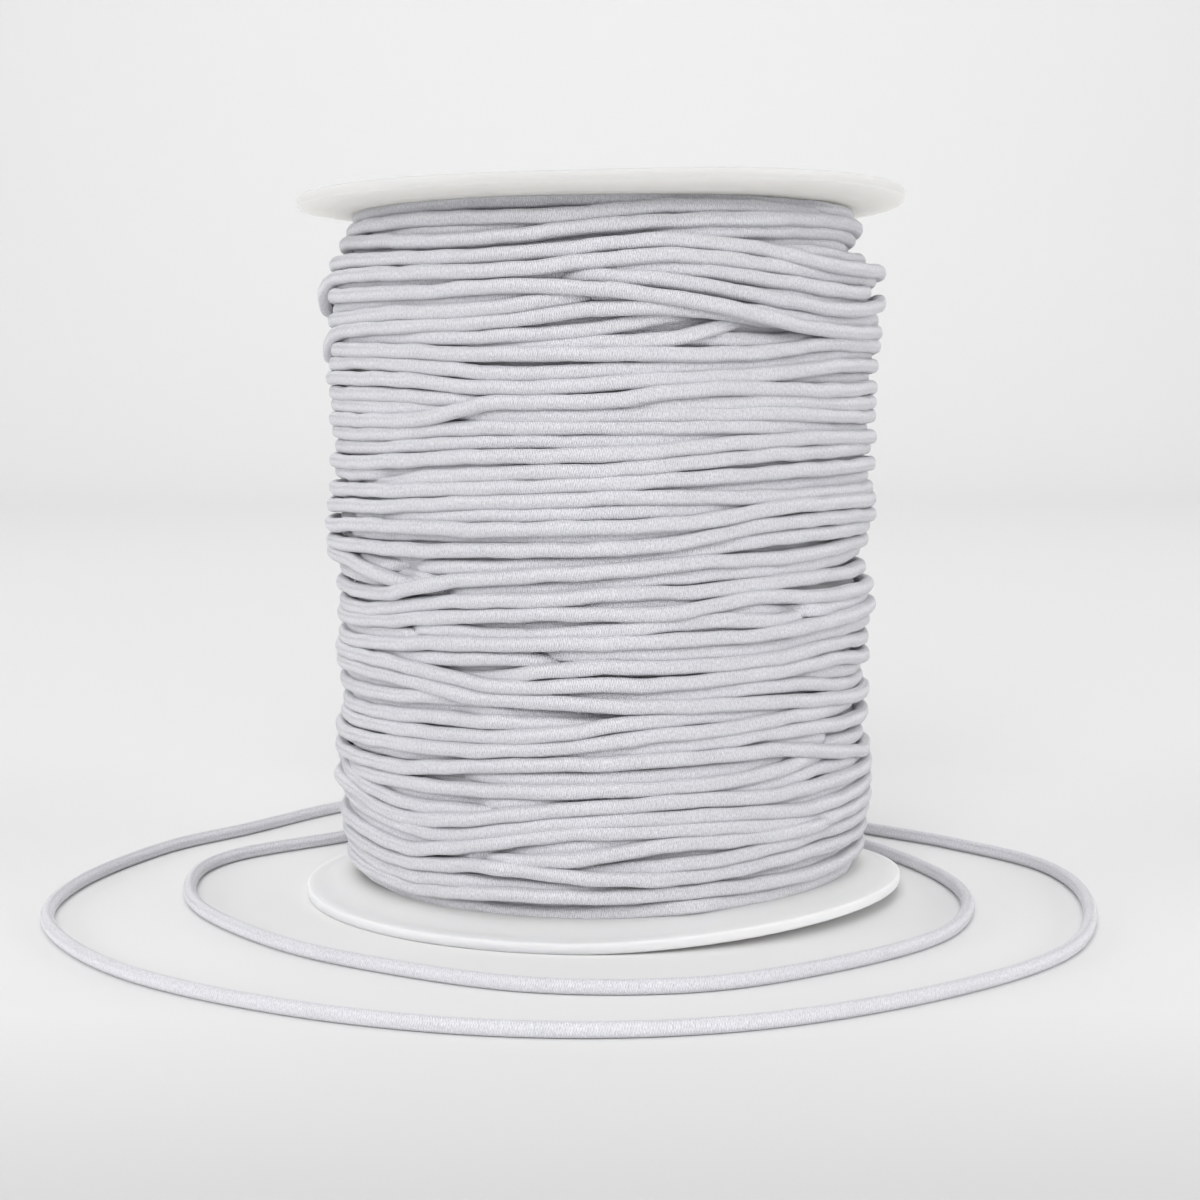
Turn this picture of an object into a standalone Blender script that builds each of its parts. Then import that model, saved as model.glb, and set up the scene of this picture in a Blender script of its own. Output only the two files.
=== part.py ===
"""A roll of round white elastic: two thin plastic flanges, the elastic wound between them, and its
loose end, which lies on the surface in two open loops round the spool.

Metres, +Z up. The origin is on the surface, under the middle of the lower flange. The front is -Y.
Angles round the roll are measured from the front, positive to the right, as seen from above.
"""

from collections import namedtuple
from math import cos, pi, radians, sin

import bmesh
import bpy
import numpy as np

# Driving dimensions
FLANGE_DIAMETER = 0.086
FLANGE_THICKNESS = 0.0015
SPOOL_HEIGHT = 0.09905
CORD_DIAMETER = 0.0019
GAP = 0.0003

# Worked out from them
FLANGE_RADIUS = FLANGE_DIAMETER / 2
RIM_RADIUS = FLANGE_THICKNESS / 2
CORD_RADIUS = CORD_DIAMETER / 2
ROLL_FOOT = FLANGE_THICKNESS + GAP
ROLL_HEAD = SPOOL_HEIGHT - FLANGE_THICKNESS - GAP

FLANGE_SEGMENTS = 72
FLANGE_RINGS = 7
RIM_STEPS = 6

# A flange is flat up to `start` from its middle, and past that it bends up ever more steeply,
# towards `angle`, to `rise` at its rim.
Curl = namedtuple("Curl", "angle start rise")
LOWER_CURL = Curl(angle=60.5, start=0.016, rise=0.00177)
UPPER_CURL = Curl(angle=54.8, start=0.020, rise=0.00099)
BEND_POWER = 1.5

# The wound form: the radius of the turns' crests at each height.
Station = namedtuple("Station", "height radius")
WOUND_FORM = (
    Station(height=0.0018, radius=0.0349),
    Station(height=0.0052, radius=0.0374),
    Station(height=0.0130, radius=0.0382),
    Station(height=0.0190, radius=0.0385),
    Station(height=0.0275, radius=0.0377),
    Station(height=0.0390, radius=0.0385),
    Station(height=0.0477, radius=0.0379),
    Station(height=0.0563, radius=0.0390),
    Station(height=0.0634, radius=0.0384),
    Station(height=0.0704, radius=0.0388),
    Station(height=0.0789, radius=0.0389),
    Station(height=0.0845, radius=0.0394),
    Station(height=0.0898, radius=0.0388),
    Station(height=0.0935, radius=0.0374),
    Station(height=0.0973, radius=0.0362),
)
TURNS = 45
TURN_DEPTH = 0.0008
COLUMNS = 44
SWAY = 0.0008  # how far the turns wander up and down on their way round

# Bundles that cross over the level turns, as ridges of the given width that stand `rise` proud.
Bundle = namedtuple("Bundle", "from_angle from_height to_angle to_height width rise")
BUNDLES = (
    Bundle(from_angle=-75, from_height=0.0868, to_angle=5, to_height=0.0868, width=0.0080, rise=0.0004),
    Bundle(from_angle=5, from_height=0.0868, to_angle=85, to_height=0.0822, width=0.0060, rise=0.0006),
    Bundle(from_angle=-40, from_height=0.0664, to_angle=60, to_height=0.0725, width=0.0040, rise=0.0005),
    Bundle(from_angle=-75, from_height=0.0430, to_angle=10, to_height=0.0492, width=0.0040, rise=0.0005),
    Bundle(from_angle=-70, from_height=0.0358, to_angle=15, to_height=0.0302, width=0.0050, rise=0.0005),
    Bundle(from_angle=-80, from_height=0.0185, to_angle=-30, to_height=0.0130, width=0.0060, rise=0.0006),
    Bundle(from_angle=110, from_height=0.0700, to_angle=220, to_height=0.0560, width=0.0060, rise=0.0006),
    Bundle(from_angle=140, from_height=0.0260, to_angle=250, to_height=0.0360, width=0.0060, rise=0.0006),
)

# The loose end's centreline, from where it leaves the roll at the back, over the lower flange's
# rim, once round close in, once round further out, and on to its cut end behind the roll.
RESTING = CORD_RADIUS + 0.00005
LOOSE_ROUTE = (
    (0.0198, 0.0343, 0.0062),
    (0.0145, 0.0380, 0.0052),
    (0.0086, 0.0410, 0.0037),
    (0.0022, 0.0435, 0.0028),
    (-0.0050, 0.0462, 0.0014),
    (-0.0130, 0.0476, RESTING),
    (-0.0290, 0.0432, RESTING),
    (-0.0430, 0.0307, RESTING),
    (-0.0568, 0.0172, RESTING),
    (-0.0603, 0.0020, RESTING),
    (-0.0558, -0.0185, RESTING),
    (-0.0423, -0.0387, RESTING),
    (-0.0269, -0.0515, RESTING),
    (-0.0085, -0.0608, RESTING),
    (0.0110, -0.0610, RESTING),
    (0.0280, -0.0520, RESTING),
    (0.0430, -0.0378, RESTING),
    (0.0498, -0.0215, RESTING),
    (0.0503, -0.0050, RESTING),
    (0.0455, 0.0127, RESTING),
    (0.0365, 0.0300, RESTING),
    (0.0215, 0.0455, RESTING),
    (0.0050, 0.0565, RESTING),
    (-0.0120, 0.0632, RESTING),
    (-0.0287, 0.0660, RESTING),
    (-0.0394, 0.0632, RESTING),
    (-0.0475, 0.0555, RESTING),
    (-0.0580, 0.0390, RESTING),
    (-0.0689, 0.0230, RESTING),
    (-0.0765, -0.0030, RESTING),
    (-0.0746, -0.0275, RESTING),
    (-0.0600, -0.0525, RESTING),
    (-0.0362, -0.0707, RESTING),
    (-0.0100, -0.0797, RESTING),
    (0.0155, -0.0778, RESTING),
    (0.0400, -0.0645, RESTING),
    (0.0588, -0.0448, RESTING),
    (0.0670, -0.0185, RESTING),
    (0.0660, 0.0060, RESTING),
    (0.0549, 0.0242, RESTING),
    (0.0426, 0.0373, RESTING),
    (0.0332, 0.0482, RESTING),
    (0.0262, 0.0600, RESTING),
    (0.0228, 0.0720, RESTING),
)
LOOSE_POINTS = 80


def clear_scene():
    for obj in list(bpy.data.objects):
        bpy.data.objects.remove(obj, do_unlink=True)


def collection(name):
    made = bpy.data.collections.new(name)
    bpy.context.scene.collection.children.link(made)
    return made


def material(name, colour, roughness, sheen=0.0):
    made = bpy.data.materials.new(name)
    made.use_nodes = True
    shader = made.node_tree.nodes["Principled BSDF"]
    shader.inputs["Base Color"].default_value = (*colour, 1.0)
    shader.inputs["Roughness"].default_value = roughness
    shader.inputs["Metallic"].default_value = 0.0
    shader.inputs["Sheen Weight"].default_value = sheen
    return made


def add_object(name, data, parts, look):
    obj = bpy.data.objects.new(name, data)
    parts.objects.link(obj)
    obj.data.materials.append(look)
    return obj


def curl_height(curl, x, y):
    """How far the curled flange stands above its flat part at (x, y)."""
    angle = radians(curl.angle)
    along = x * sin(angle) - y * cos(angle)
    share = np.clip((along - curl.start) / (FLANGE_RADIUS - curl.start), 0.0, None)
    return curl.rise * share**BEND_POWER


def flange_profile():
    """Half of a flange's section, from the middle of its top round the rim to the middle below."""
    flat = FLANGE_RADIUS - RIM_RADIUS
    radii = [flat * step / FLANGE_RINGS for step in range(FLANGE_RINGS)]
    top = [(radius, FLANGE_THICKNESS) for radius in radii]
    angles = [pi / 2 - pi * step / RIM_STEPS for step in range(RIM_STEPS + 1)]
    rim = [(flat + RIM_RADIUS * cos(a), RIM_RADIUS + RIM_RADIUS * sin(a)) for a in angles]
    below = [(radius, 0.0) for radius in reversed(radii)]
    return top + rim + below


def flange(name, height, curl, parts, look):
    """A disc with a rounded rim, turned by a Screw modifier and then curled."""
    points = flange_profile()
    guide_mesh = bpy.data.meshes.new(name + "_section")
    edges = [(i, i + 1) for i in range(len(points) - 1)]
    guide_mesh.from_pydata([(x, 0.0, z) for x, z in points], edges, [])
    guide = bpy.data.objects.new(name + "_section", guide_mesh)
    parts.objects.link(guide)
    screw = guide.modifiers.new("Turn", "SCREW")
    screw.steps = screw.render_steps = FLANGE_SEGMENTS
    screw.use_merge_vertices = True
    screw.merge_threshold = 0.00001
    turned = guide.evaluated_get(bpy.context.evaluated_depsgraph_get())
    mesh = bpy.data.meshes.new_from_object(turned)
    bpy.data.objects.remove(guide, do_unlink=True)

    places = np.empty(len(mesh.vertices) * 3)
    mesh.vertices.foreach_get("co", places)
    places = places.reshape(-1, 3)
    places[:, 2] += height + curl_height(curl, places[:, 0], places[:, 1])
    mesh.vertices.foreach_set("co", places.ravel())
    mesh.shade_smooth()
    mesh.set_sharp_from_angle(angle=radians(35))
    mesh.name = name
    return add_object(name, mesh, parts, look)


def bundle_rise(angle, height):
    """How far the crossing bundles stand proud at each angle (degrees from the front) and height."""
    rise = np.zeros_like(angle)
    for bundle in BUNDLES:
        span = bundle.to_angle - bundle.from_angle
        turned = (angle - bundle.from_angle) % 360
        share = turned / span
        middle = bundle.from_height + share * (bundle.to_height - bundle.from_height)
        across = np.clip(np.abs(height - middle) / (bundle.width / 2), 0.0, 1.0)
        fade = np.clip(np.minimum(share, 1.0 - share) * 5.0, 0.0, 1.0)
        rise += bundle.rise * np.cos(across * pi / 2) ** 2 * fade
    return rise


def sway(angle, height):
    """The turns' drift up and down: slow waves round the roll that change with height."""
    turn = np.radians(angle)
    drift = np.sin(turn + height * 110.0) + 0.5 * np.sin(3 * turn - height * 170.0)
    return SWAY * drift


def roll_points():
    """The roll's surface as rings, a crest and a valley to each turn, with its ends level."""
    rings = 2 * TURNS + 1
    angle = np.arange(COLUMNS) * 360.0 / COLUMNS
    share = np.linspace(0.0, 1.0, rings)
    grid_angle, grid_share = np.meshgrid(angle, share)
    turn = np.radians(grid_angle)

    heights = [station.height for station in WOUND_FORM]
    radii = [station.radius for station in WOUND_FORM]
    level = ROLL_FOOT + grid_share * (ROLL_HEAD - ROLL_FOOT)
    end_fade = np.clip(np.minimum(grid_share, 1.0 - grid_share) * 12.0, 0.0, 1.0)
    height = level + sway(grid_angle, level) * end_fade

    crest = (np.arange(rings) % 2 == 1)[:, None]
    radius = np.interp(level, heights, radii) + bundle_rise(grid_angle, height)
    radius -= np.where(crest, 0.0, TURN_DEPTH)

    x, y = radius * np.sin(turn), -radius * np.cos(turn)
    foot_share = (1.0 - grid_share) ** 3
    height += foot_share * curl_height(LOWER_CURL, x, y)
    return np.stack([x, y, height], axis=-1)


def elastic_roll(parts, look):
    """One closed solid: rings of points bridged ring to ring, with a fan across each end."""
    points = roll_points()
    rings, columns = points.shape[:2]
    shape = bmesh.new()
    rows = [[shape.verts.new(point) for point in ring] for ring in points]
    for lower, upper in zip(rows, rows[1:]):
        for i in range(columns):
            j = (i + 1) % columns
            shape.faces.new((lower[i], lower[j], upper[j], upper[i]))
    foot = shape.verts.new((0.0, 0.0, ROLL_FOOT))
    head = shape.verts.new((0.0, 0.0, ROLL_HEAD))
    for i in range(columns):
        j = (i + 1) % columns
        shape.faces.new((foot, rows[0][j], rows[0][i]))
        shape.faces.new((head, rows[-1][i], rows[-1][j]))
    bmesh.ops.recalc_face_normals(shape, faces=shape.faces)
    mesh = bpy.data.meshes.new("elastic_roll")
    shape.to_mesh(mesh)
    shape.free()
    mesh.shade_smooth()
    return add_object("elastic_roll", mesh, parts, look)


def smooth_route(route, count):
    """`count` points, evenly spaced, on the smooth (Catmull-Rom) curve through the route."""
    knots = np.array(route)
    knots = np.vstack([2 * knots[0] - knots[1], knots, 2 * knots[-1] - knots[-2]])
    t = np.linspace(0.0, 1.0, 24, endpoint=False)[:, None]
    fine = []
    for a, b, c, d in zip(knots, knots[1:], knots[2:], knots[3:]):
        fine.append(0.5 * (2 * b + (c - a) * t + (2 * a - 5 * b + 4 * c - d) * t**2
                           + (3 * b - a - 3 * c + d) * t**3))
    fine = np.vstack(fine + [knots[-2:-1]])
    run = np.concatenate([[0.0], np.cumsum(np.linalg.norm(np.diff(fine, axis=0), axis=1))])
    wanted = np.linspace(0.0, run[-1], count)
    return np.stack([np.interp(wanted, run, fine[:, axis]) for axis in range(3)], axis=1)


def loose_end(parts, look):
    """The free cord: a poly curve with a round bevel and filled ends."""
    points = smooth_route(LOOSE_ROUTE, LOOSE_POINTS)
    curve = bpy.data.curves.new("loose_end", "CURVE")
    curve.dimensions = "3D"
    curve.bevel_depth = CORD_RADIUS
    curve.bevel_resolution = 2
    curve.use_fill_caps = True
    spline = curve.splines.new("POLY")
    spline.points.add(len(points) - 1)
    for point, place in zip(spline.points, points):
        point.co = (*place, 1.0)
    return add_object("loose_end", curve, parts, look)


def main():
    clear_scene()
    parts = collection("roll_of_elastic")
    plastic = material("white_plastic", (0.80, 0.79, 0.77), 0.42)
    elastic = material("white_elastic", (0.78, 0.79, 0.83), 0.85, sheen=0.3)
    loose = material("loose_elastic", (0.80, 0.81, 0.83), 0.85, sheen=0.3)
    flange("flange_bottom", 0.0, LOWER_CURL, parts, plastic)
    flange("flange_top", SPOOL_HEIGHT - FLANGE_THICKNESS, UPPER_CURL, parts, plastic)
    elastic_roll(parts, elastic)
    loose_end(parts, loose)


main()
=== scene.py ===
"""The looks of a roll of round white elastic on its flanged spool, around the part's own frame.

Metres, +Z up, the front at -Y. Angles round the roll are measured from the front, positive to the
right. The wound turns are real lengths of cord: each is laid over the ones below it and pulled taut.
"""

from collections import namedtuple

import bpy
import numpy as np
from bpy.props import FloatProperty, FloatVectorProperty, IntProperty, PointerProperty
from bpy.types import Operator, Panel, PropertyGroup
from mathutils import Matrix, Vector


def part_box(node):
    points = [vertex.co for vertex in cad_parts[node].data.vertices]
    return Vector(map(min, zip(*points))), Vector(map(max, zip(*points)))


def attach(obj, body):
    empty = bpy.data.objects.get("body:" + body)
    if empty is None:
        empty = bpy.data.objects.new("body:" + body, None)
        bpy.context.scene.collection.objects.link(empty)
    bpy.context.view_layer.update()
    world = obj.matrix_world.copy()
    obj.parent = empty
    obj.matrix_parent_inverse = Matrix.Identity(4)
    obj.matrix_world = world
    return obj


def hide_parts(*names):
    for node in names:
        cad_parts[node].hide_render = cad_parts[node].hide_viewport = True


bl_info = {
    "name": "Roll of Elastic",
    "version": (1, 0, 0),
    "blender": (4, 5, 0),
    "location": "View3D > Sidebar > Elastic",
    "description": "Winds round white elastic on a flanged spool and lays its loose end on the table",
    "category": "Object",
}

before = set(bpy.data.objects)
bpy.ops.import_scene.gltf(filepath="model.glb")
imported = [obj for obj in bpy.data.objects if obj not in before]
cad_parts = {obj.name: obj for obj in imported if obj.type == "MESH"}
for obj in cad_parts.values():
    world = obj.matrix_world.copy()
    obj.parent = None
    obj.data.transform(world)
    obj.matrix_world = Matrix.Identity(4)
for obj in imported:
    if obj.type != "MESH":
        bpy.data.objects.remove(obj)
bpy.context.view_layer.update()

MM = 0.001
LOWER_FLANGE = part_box("flange_bottom")
UPPER_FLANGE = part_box("flange_top")
WOUND_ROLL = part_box("elastic_roll")
FLANGE_RADIUS = (LOWER_FLANGE[1].x - LOWER_FLANGE[0].x) / 2

# The camera that took the photograph, fitted to the two flanges' rims.
CAMERA_PLACE = (-0.00033, -0.32681, 0.07094)
CAMERA_PITCH = 5.107
CAMERA_ROLL = -0.249
CAMERA_LENS = 67.99
SENSOR_WIDTH = 36.0

# A flange is flat up to `start` from its middle, then bends up towards `angle`, to `rise` at its rim.
Curl = namedtuple("Curl", "angle start rise")
LOWER_CURL = Curl(angle=60.5, start=0.016, rise=0.00177)
UPPER_CURL = Curl(angle=54.8, start=0.020, rise=0.00099)
BEND_POWER = 1.5

# A flange's inner face starts to rise at SWELL_START from the middle and is level again SWELL_WIDTH
# further in. Light goes deeper into the rim, which starts between RIM_FROM and RIM_TO, and there the
# rim's colour carries painted light on the lower flange and painted shade on the upper one.
SWELL_START = 0.0424
SWELL_WIDTH = 0.0062
RIM_FROM, RIM_TO = 0.034, 0.039

# The stage: the paper's bounds and bend, the point that the lights face, and how bright the room is
# where the paper ends.
PAPER_REACH, PAPER_TOP = 2.2, 2.5
BEND_START, BEND_RADIUS = 1.2, 0.6
LIT_POINT = (0.0, 0.0, 0.04)
ROOM_SEEN = 0.8

# Painted light and shade on the paper: its colour is darkened by the front tone, painted shade, in front
# of the first y of FRONT_BAND, lightened by the near tone, painted light, closer to the middle than the
# first of NEAR_BAND, and as it is past the second of each.
FRONT_PAINTED_SHADE, FRONT_BAND = 0.84, (-0.13, -0.07)
NEAR_PAINTED_LIGHT, NEAR_BAND = 1.04, (0.06, 0.13)

# Where the free cord lies: out of the roll at the back and over the lower flange's rim, then on the
# surface, once round close in, once round further out, and on to its cut end.
CORD_DIAMETER = 0.0019
RESTING = CORD_DIAMETER / 2 + 0.00005
LEAVING_ROLL = (
    (0.0198, 0.0343, 0.0062), (0.0145, 0.0380, 0.0052), (0.0086, 0.0410, 0.0037),
    (0.0022, 0.0435, 0.0028), (-0.0050, 0.0462, 0.0014),
)
ON_SURFACE = (
    (-0.0130, 0.0476), (-0.0290, 0.0432), (-0.0430, 0.0307), (-0.0568, 0.0172), (-0.0603, 0.0020),
    (-0.0558, -0.0185), (-0.0423, -0.0387), (-0.0269, -0.0515), (-0.0085, -0.0608), (0.0110, -0.0610),
    (0.0280, -0.0520), (0.0430, -0.0378), (0.0498, -0.0215), (0.0503, -0.0050), (0.0455, 0.0127),
    (0.0365, 0.0300), (0.0215, 0.0455), (0.0050, 0.0565), (-0.0120, 0.0632), (-0.0287, 0.0660),
    (-0.0394, 0.0632), (-0.0475, 0.0555), (-0.0580, 0.0390), (-0.0689, 0.0230), (-0.0765, -0.0030),
    (-0.0746, -0.0275), (-0.0600, -0.0525), (-0.0362, -0.0707), (-0.0100, -0.0797), (0.0155, -0.0778),
    (0.0400, -0.0645), (0.0588, -0.0448), (0.0670, -0.0185), (0.0660, 0.0060), (0.0549, 0.0242),
    (0.0426, 0.0373), (0.0332, 0.0482), (0.0262, 0.0600), (0.0228, 0.0720),
)
LOOSE_ROUTE = LEAVING_ROLL + tuple((x, y, RESTING) for x, y in ON_SURFACE)

# The turns that show at the front, from the top down. `level` says which lies over which: 0 is deep
# under its neighbours and 4 crosses over them; a pair is its level at the left end and at the right.
# `run` is a list of (angle, height in mm) as they look from the camera against the winding's mean
# radius. A run that reaches SEEN_TO goes on round the back, and one that stops short of it tucks in
# under its neighbours there.
Turn = namedtuple("Turn", "level run")
FRONT_TURNS = [Turn(level, run) for level, *run in (
    (0.5, (-75, 95.9), (75, 95.9)),
    (1.0, (-75, 94.1), (-37, 94.05), (-25, 93.95), (-12, 93.65), (0, 94.2), (12, 95.0), (25, 95.2),
        (42, 95.05), (62, 94.9)),
    (0.0, (-60, 92.9), (-50, 92.6), (-25, 92.4), (-15, 92.6), (-5, 93.2)),
    (2.0, (-75, 92.4), (-68, 92.2), (-50, 91.5), (-37, 91.1), (-25, 91.1), (-12, 91.7), (0, 92.5),
        (12, 93.15), (25, 93.5), (37, 93.8), (50, 94.15), (62, 94.4), (75, 94.3)),
    (1.0, (15, 91.6), (25, 91.9), (37, 92.2), (50, 92.6), (62, 92.8), (75, 92.8)),
    (0.5, (30, 90.8), (37, 91.0), (50, 91.4), (60, 91.2), (67, 91.0)),
    (1.0, (36, 89.9), (50, 89.9), (57, 89.8), (64, 89.4), (75, 89.7)),
    (4.0, (-75, 89.6), (-62, 89.4), (-50, 89.3), (-37, 89.0), (-25, 88.9), (-12, 89.2), (0, 90.2),
        (12, 90.85), (25, 90.35), (37, 89.6), (50, 88.3), (62, 87.9), (75, 88.2)),
    (3.0, (-75, 87.4), (-50, 87.4), (-37, 87.1), (-25, 87.0), (-12, 87.3), (0, 88.3), (12, 88.9),
        (25, 88.5), (37, 87.8), (50, 86.9), (62, 86.7), (75, 87.1)),
    (1.5, (-75, 86.4), (-60, 86.3), (-37, 86.0), (-25, 86.2), (-12, 86.6), (0, 87.2), (12, 87.3),
        (25, 86.7), (37, 85.8), (50, 85.0), (62, 84.8), (75, 85.3)),
    (2.0, (-14, 86.0), (-6, 86.4), (0, 86.4), (12, 85.7), (25, 84.5), (37, 83.3), (50, 82.45), (62, 82.4),
        (75, 83.3)),
    (0.5, (25, 84.4), (37, 84.0), (50, 83.65), (62, 83.5), (68, 83.8)),
    (4.0, (-75, 85.1), (-62, 84.9), (-50, 84.7), (-37, 84.6), (-25, 84.95), (-17, 85.2), (-12, 85.1),
        (0, 84.5), (12, 83.7), (20, 82.8), (25, 82.1), (30, 81.4), (37, 80.4), (45, 79.8), (50, 79.6),
        (62, 79.5), (75, 79.8)),
    (1.0, (-75, 83.4), (-25, 83.4), (-12, 84.0), (0, 84.0), (12, 83.3), (25, 82.2), (37, 81.3),
        (50, 80.85), (62, 80.9), (75, 81.5)),
    (2.0, (-75, 81.8), (-50, 82.05), (-25, 82.1), (-12, 83.0), (-3, 84.0), (4, 84.4)),
    (2.0, (-75, 79.9), (-50, 80.3), (-25, 80.5), (-12, 81.1), (-5, 81.9), (0, 82.2), (5, 82.3), (12, 82.2),
        (17, 82.0), (25, 81.6), (35, 80.6)),
    (1.0, (-75, 78.9), (-62, 79.0), (-37, 78.8), (-25, 78.7), (-12, 78.9), (-5, 79.2), (0, 79.7),
        (5, 80.3), (10, 80.9), (15, 81.3), (22, 81.6)),
    ((0.2, 3.4), (-25, 77.4), (-12, 77.4), (0, 77.8), (8, 78.0), (14, 78.2), (20, 79.3), (26, 80.4),
        (31, 81.0)),
    (1.5, (12, 78.0), (18, 78.2), (25, 78.3), (37, 78.1), (50, 78.8)),
    (3.0, (-75, 77.8), (-62, 77.5), (-50, 77.3), (-37, 76.9), (-25, 76.5), (0, 76.4), (25, 76.4),
        (33, 76.6), (40, 77.1), (45, 77.7), (50, 77.95), (60, 77.9), (75, 77.9)),
    (2.0, (-75, 75.8), (-62, 75.8), (-50, 75.6), (-37, 75.1), (-25, 74.2), (-17, 73.9), (-12, 74.0),
        (0, 74.4), (12, 74.7), (25, 74.95), (37, 75.3), (45, 75.7), (55, 76.3), (62, 76.6), (75, 76.7)),
    (3.0, (-75, 73.8), (-50, 73.6), (-37, 73.1), (-25, 72.2), (-12, 72.2), (0, 72.6), (12, 73.2),
        (25, 73.5), (37, 74.0), (50, 74.8), (62, 75.2), (75, 75.2)),
    (0.5, (45, 73.4), (60, 73.3), (75, 73.5)),
    (2.0, (-75, 71.8), (-62, 71.6), (-50, 71.5), (-37, 71.1), (-30, 70.7), (-20, 70.3), (-8, 69.9),
        (8, 69.9), (17, 70.1), (25, 70.2), (37, 70.35), (50, 70.1), (62, 69.9), (75, 70.1)),
    (2.0, (-75, 70.1), (-62, 69.9), (-50, 69.8), (-37, 69.5), (-28, 69.0), (-20, 68.8), (-12, 68.65),
        (25, 68.8), (37, 68.8), (50, 68.4), (62, 68.2), (75, 68.2)),
    (4.0, (-75, 68.1), (-50, 68.0), (-40, 68.1), (-35, 68.4), (-30, 69.1), (-25, 69.9), (-20, 70.4),
        (0, 70.4), (5, 70.7), (10, 71.4), (13, 71.7), (20, 71.9), (25, 72.0), (37, 72.0), (50, 71.7),
        (62, 71.8), (75, 72.2)),
    (2.0, (-75, 66.4), (-62, 66.2), (-50, 66.2), (-42, 66.5), (-37, 66.9), (-25, 67.2), (25, 67.15),
        (37, 67.05), (50, 66.8), (60, 66.5), (75, 66.4)),
    (1.0, (-75, 64.3), (-62, 64.3), (-50, 64.5), (-37, 65.0), (-25, 65.3), (-12, 65.45), (0, 65.35),
        (12, 65.5), (25, 65.9), (35, 66.1)),
    (3.0, (-75, 62.3), (-62, 62.3), (-50, 62.5), (-37, 63.0), (-25, 63.45), (-12, 63.55), (0, 63.6),
        (12, 64.1), (20, 64.7), (25, 64.95), (37, 65.3), (50, 65.5), (60, 65.5), (75, 65.3)),
    (1.0, (-75, 60.8), (-62, 60.7), (-50, 61.0), (-42, 61.4), (-37, 61.7), (-30, 62.0), (-20, 62.5)),
    (2.0, (-58, 59.5), (-50, 59.6), (-42, 60.2), (-37, 60.7), (-25, 61.1), (-12, 61.5), (0, 61.7),
        (12, 62.2), (25, 63.0), (37, 63.5), (50, 63.6), (75, 63.8)),
    (2.5, (-75, 58.4), (-62, 58.6), (-50, 58.7), (-37, 59.1), (-25, 59.4), (-12, 59.6), (0, 60.0),
        (12, 60.4), (25, 60.7), (37, 61.1), (50, 61.4), (75, 61.5)),
    (1.0, (5, 58.8), (12, 59.0), (25, 59.3), (37, 59.4), (50, 59.6), (75, 59.8)),
    (2.0, (-75, 56.0), (-62, 56.5), (-50, 56.5), (-37, 57.1), (-25, 57.5), (-12, 57.8), (0, 58.2),
        (12, 58.2), (25, 58.0), (37, 57.9), (50, 58.0), (75, 58.2)),
    (1.0, (-60, 55.3), (-50, 55.4), (-37, 55.5), (-25, 55.8), (-12, 56.1), (0, 56.3), (12, 56.5),
        (22, 56.6), (30, 56.9)),
    (3.0, (-75, 53.3), (-62, 53.9), (-50, 54.1), (-25, 54.0), (-12, 54.2), (0, 54.4), (12, 54.6),
        (20, 55.1), (25, 55.5), (30, 56.1), (37, 56.55), (50, 56.8), (62, 56.8), (75, 56.5)),
    (1.0, (-62, 53.0), (-50, 53.1), (-25, 53.3), (0, 53.3), (12, 53.8), (25, 54.8), (32, 55.6)),
    (3.0, (-75, 50.9), (-62, 51.1), (-50, 51.0), (-37, 51.1), (-25, 51.35), (-12, 51.5), (0, 51.6),
        (12, 52.2), (20, 52.8), (25, 53.5), (30, 54.1), (37, 54.5), (50, 54.75), (62, 54.8), (75, 54.3)),
    (2.0, (-60, 49.1), (-50, 48.8), (-42, 48.9), (-25, 49.2), (-12, 49.6), (0, 50.0), (12, 50.8),
        (20, 51.4), (25, 51.9), (37, 52.5), (50, 52.8), (75, 52.8)),
    (3.5, (-75, 49.3), (-65, 49.0), (-60, 48.6), (-55, 48.0), (-50, 47.3), (-45, 46.7), (-40, 46.1),
        (-34, 45.7)),
    (2.5, (-55, 48.3), (-48, 47.8), (-38, 47.2), (-30, 47.0)),
    (1.0, (-75, 47.2), (-65, 47.0), (-55, 46.5), (-47, 46.0)),
    (4.0, (-75, 44.9), (-62, 44.6), (-50, 44.9), (-42, 45.8), (-37, 46.6), (-30, 47.3), (-25, 47.6),
        (-17, 48.0), (-12, 48.3), (0, 48.8), (8, 49.2), (20, 49.8), (25, 49.9), (37, 49.8), (50, 50.2),
        (57, 50.5), (75, 50.8)),
    (2.0, (-35, 45.8), (-25, 46.0), (-12, 46.6), (0, 47.2), (12, 47.9), (20, 48.2), (37, 48.3), (50, 48.6),
        (65, 49.1), (75, 49.4)),
    (3.0, (-75, 42.2), (-60, 42.4), (-50, 43.0), (-42, 43.8), (-37, 44.15), (-30, 44.7), (-25, 44.8),
        (-15, 45.05), (-5, 45.4), (0, 45.85), (10, 46.0), (19, 45.9), (25, 46.2), (32, 46.6), (40, 46.7),
        (50, 46.85), (75, 46.9)),
    (0.5, (-8, 44.1), (0, 44.5), (7, 44.75), (13, 44.6), (20, 44.2)),
    (3.0, (-75, 40.5), (-60, 40.8), (-50, 41.3), (-42, 41.9), (-37, 42.3), (-30, 42.6), (-25, 42.95),
        (-10, 43.3), (0, 43.35), (7, 43.2), (13, 43.2), (18, 43.6), (22, 44.1), (27, 44.65), (32, 44.9),
        (39, 44.8), (44, 44.5), (50, 44.3), (75, 44.3)),
    (1.0, (20, 43.0), (27, 43.1), (32, 43.2), (39, 43.0), (45, 42.6), (50, 42.45), (57, 42.55),
        (75, 42.8)),
    (1.0, (-32, 41.8), (-25, 41.6), (-17, 41.6), (-10, 41.85), (2, 42.3)),
    (2.0, (-48, 40.6), (-37, 40.65), (-30, 40.6), (-22, 40.4), (-15, 40.45), (-10, 40.75), (0, 41.15),
        (7, 41.5), (12, 41.7), (17, 42.0), (24, 42.3), (30, 42.0), (37, 41.7), (50, 41.9)),
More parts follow.
